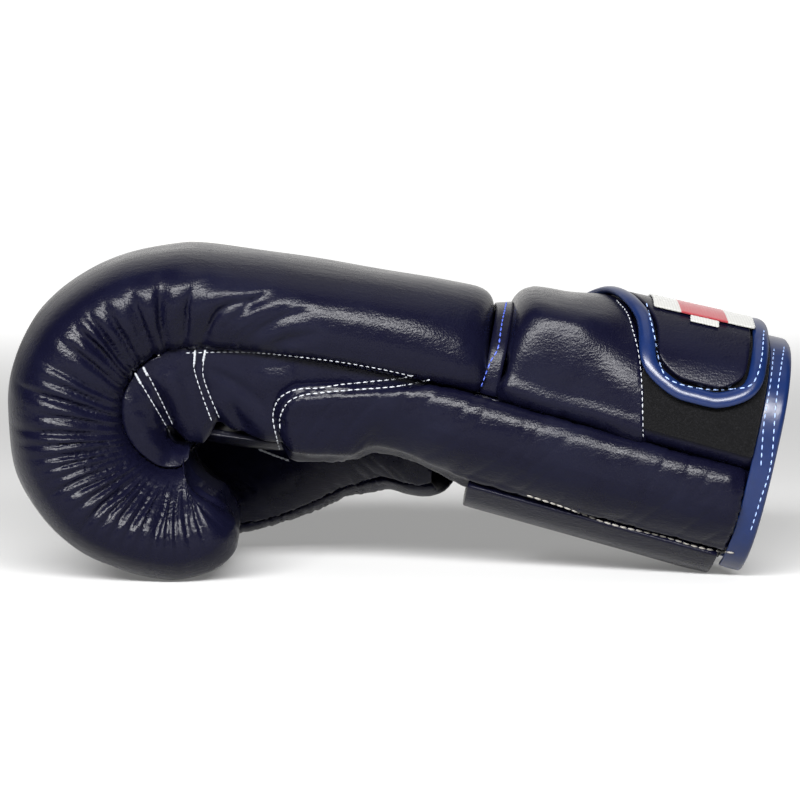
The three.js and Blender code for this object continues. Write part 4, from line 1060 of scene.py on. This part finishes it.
def sew(name, rows, thread, length_mm=2.6, pitch_mm=3.4, thick_mm=0.75):
    """One mesh with a bead of thread for every stitch of the rows."""

    def make(bm):
        for row in rows:
            for at, direction, normal in spaced(row, pitch_mm * MM):
                normal = (normal - direction * normal.dot(direction)).normalized()
                sideways = direction.cross(normal)
                tilt = Matrix((direction, sideways, normal)).transposed().to_4x4()
                shape = Matrix.Diagonal((length_mm / 2 * MM, thick_mm / 2 * MM, thick_mm * 0.4 * MM, 1))
                lift = Matrix.Translation(at + normal * thick_mm * 0.12 * MM)
                bmesh.ops.create_uvsphere(
                    bm, u_segments=6, v_segments=4, radius=1, matrix=lift @ tilt @ shape
                )

    piece = place(name, make)
    piece.data.materials.append(thread)
    shade_smooth(piece)
    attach(piece, "root")
    return piece


soft_pieces = [
    padding, little_side, thumb_side, palm, strip, cuff, little_roll, thumb_roll, thumb_back, thumb_face,
]
hide = surface_of([*soft_pieces, tape, strap, strap_edge, rim, label])
print("search tree ready")

# %% Rows on the side panel, the seam and the wrist roll
BAR_TACKS = [
    [(136, 375), (141, 384)], [(144, 369), (147, 375)], [(195, 352), (194, 364)], [(205, 352), (203, 362)],
]
SEAM_ROW = [(188, 353), (230, 352), (262, 353), (300, 357), (340, 362), (380, 369), (412, 376)]
HEEL_STITCH = [(261, 450), (274, 455), (288, 460)]
panel_rows = [laid_by_picture(row, hide) for row in (ROW_A, ROW_A2, ROW_B, ROW_B2)]
tack_rows = [laid_by_picture(row, hide) for row in BAR_TACKS]
seam_row = laid_by_picture(SEAM_ROW, hide)
roll_rows = [laid_by_picture(row, hide) for row in (ROLL_ROW, ROLL_ROW2)]
both_sides = panel_rows + [mirrored_row(row, hide) for row in panel_rows]
sew("panel_thread", both_sides, white_thread, 2.3, 2.5, 0.5)
sew("bar_tacks", tack_rows + [mirrored_row(row, hide) for row in tack_rows], white_thread, 2.4, 1.2, 1.1)
sew("seam_thread", [seam_row, mirrored_row(seam_row, hide)], white_thread, 1.9, 2.5, 0.5)
sew("roll_thread", roll_rows, white_thread, 2.5, 2.9, 0.65)
sew("heel_thread", [laid_by_picture(HEEL_STITCH, hide)], white_thread, 3.0, 2.2, 1.1)
print("panel, seam and roll sewn")

# %% Rows on the cuff, the strap and the rim
WRIST_ROW = [(509, 291), (502, 323), (498, 348), (490, 363), (480, 389)]
STRAP_ROW = [
    (647, 305), (654, 335), (662, 370), (674, 382), (703, 389), (733, 389), (752, 384), (761, 362),
    (764, 329),
]
RIM_ROWS = [
    [(774, 350), (770, 386), (764, 423), (761, 464)],
    [(784, 348), (776, 403), (771, 464), (760, 501), (750, 533)],
]
CHAIN_ROW = [(530, 496), (567, 508), (610, 524), (661, 536), (701, 548), (736, 553)]
sew("wrist_thread", [laid_by_picture(WRIST_ROW, hide)], blue_thread, 2.6, 3.0, 0.8)
sew("cuff_thread", [laid_by_picture(CUFF_ROW, hide)], white_thread, 2.0, 2.6, 0.55)
sew("strap_thread", [laid_by_picture(STRAP_ROW, hide)], pale_thread, 2.6, 3.4, 0.65)
sew("rim_thread", [laid_by_picture(row, hide) for row in RIM_ROWS], pale_thread, 2.4, 3.2, 0.6)
# The chain stitch uses the pale thread darkened as painted shade.
sew("chain_thread", [laid_by_picture(CHAIN_ROW, hide)], painted_shade_thread, 3.4, 3.4, 1.1)
print("cuff, strap and rim sewn")

# %% Finish
bpy.context.view_layer.update()
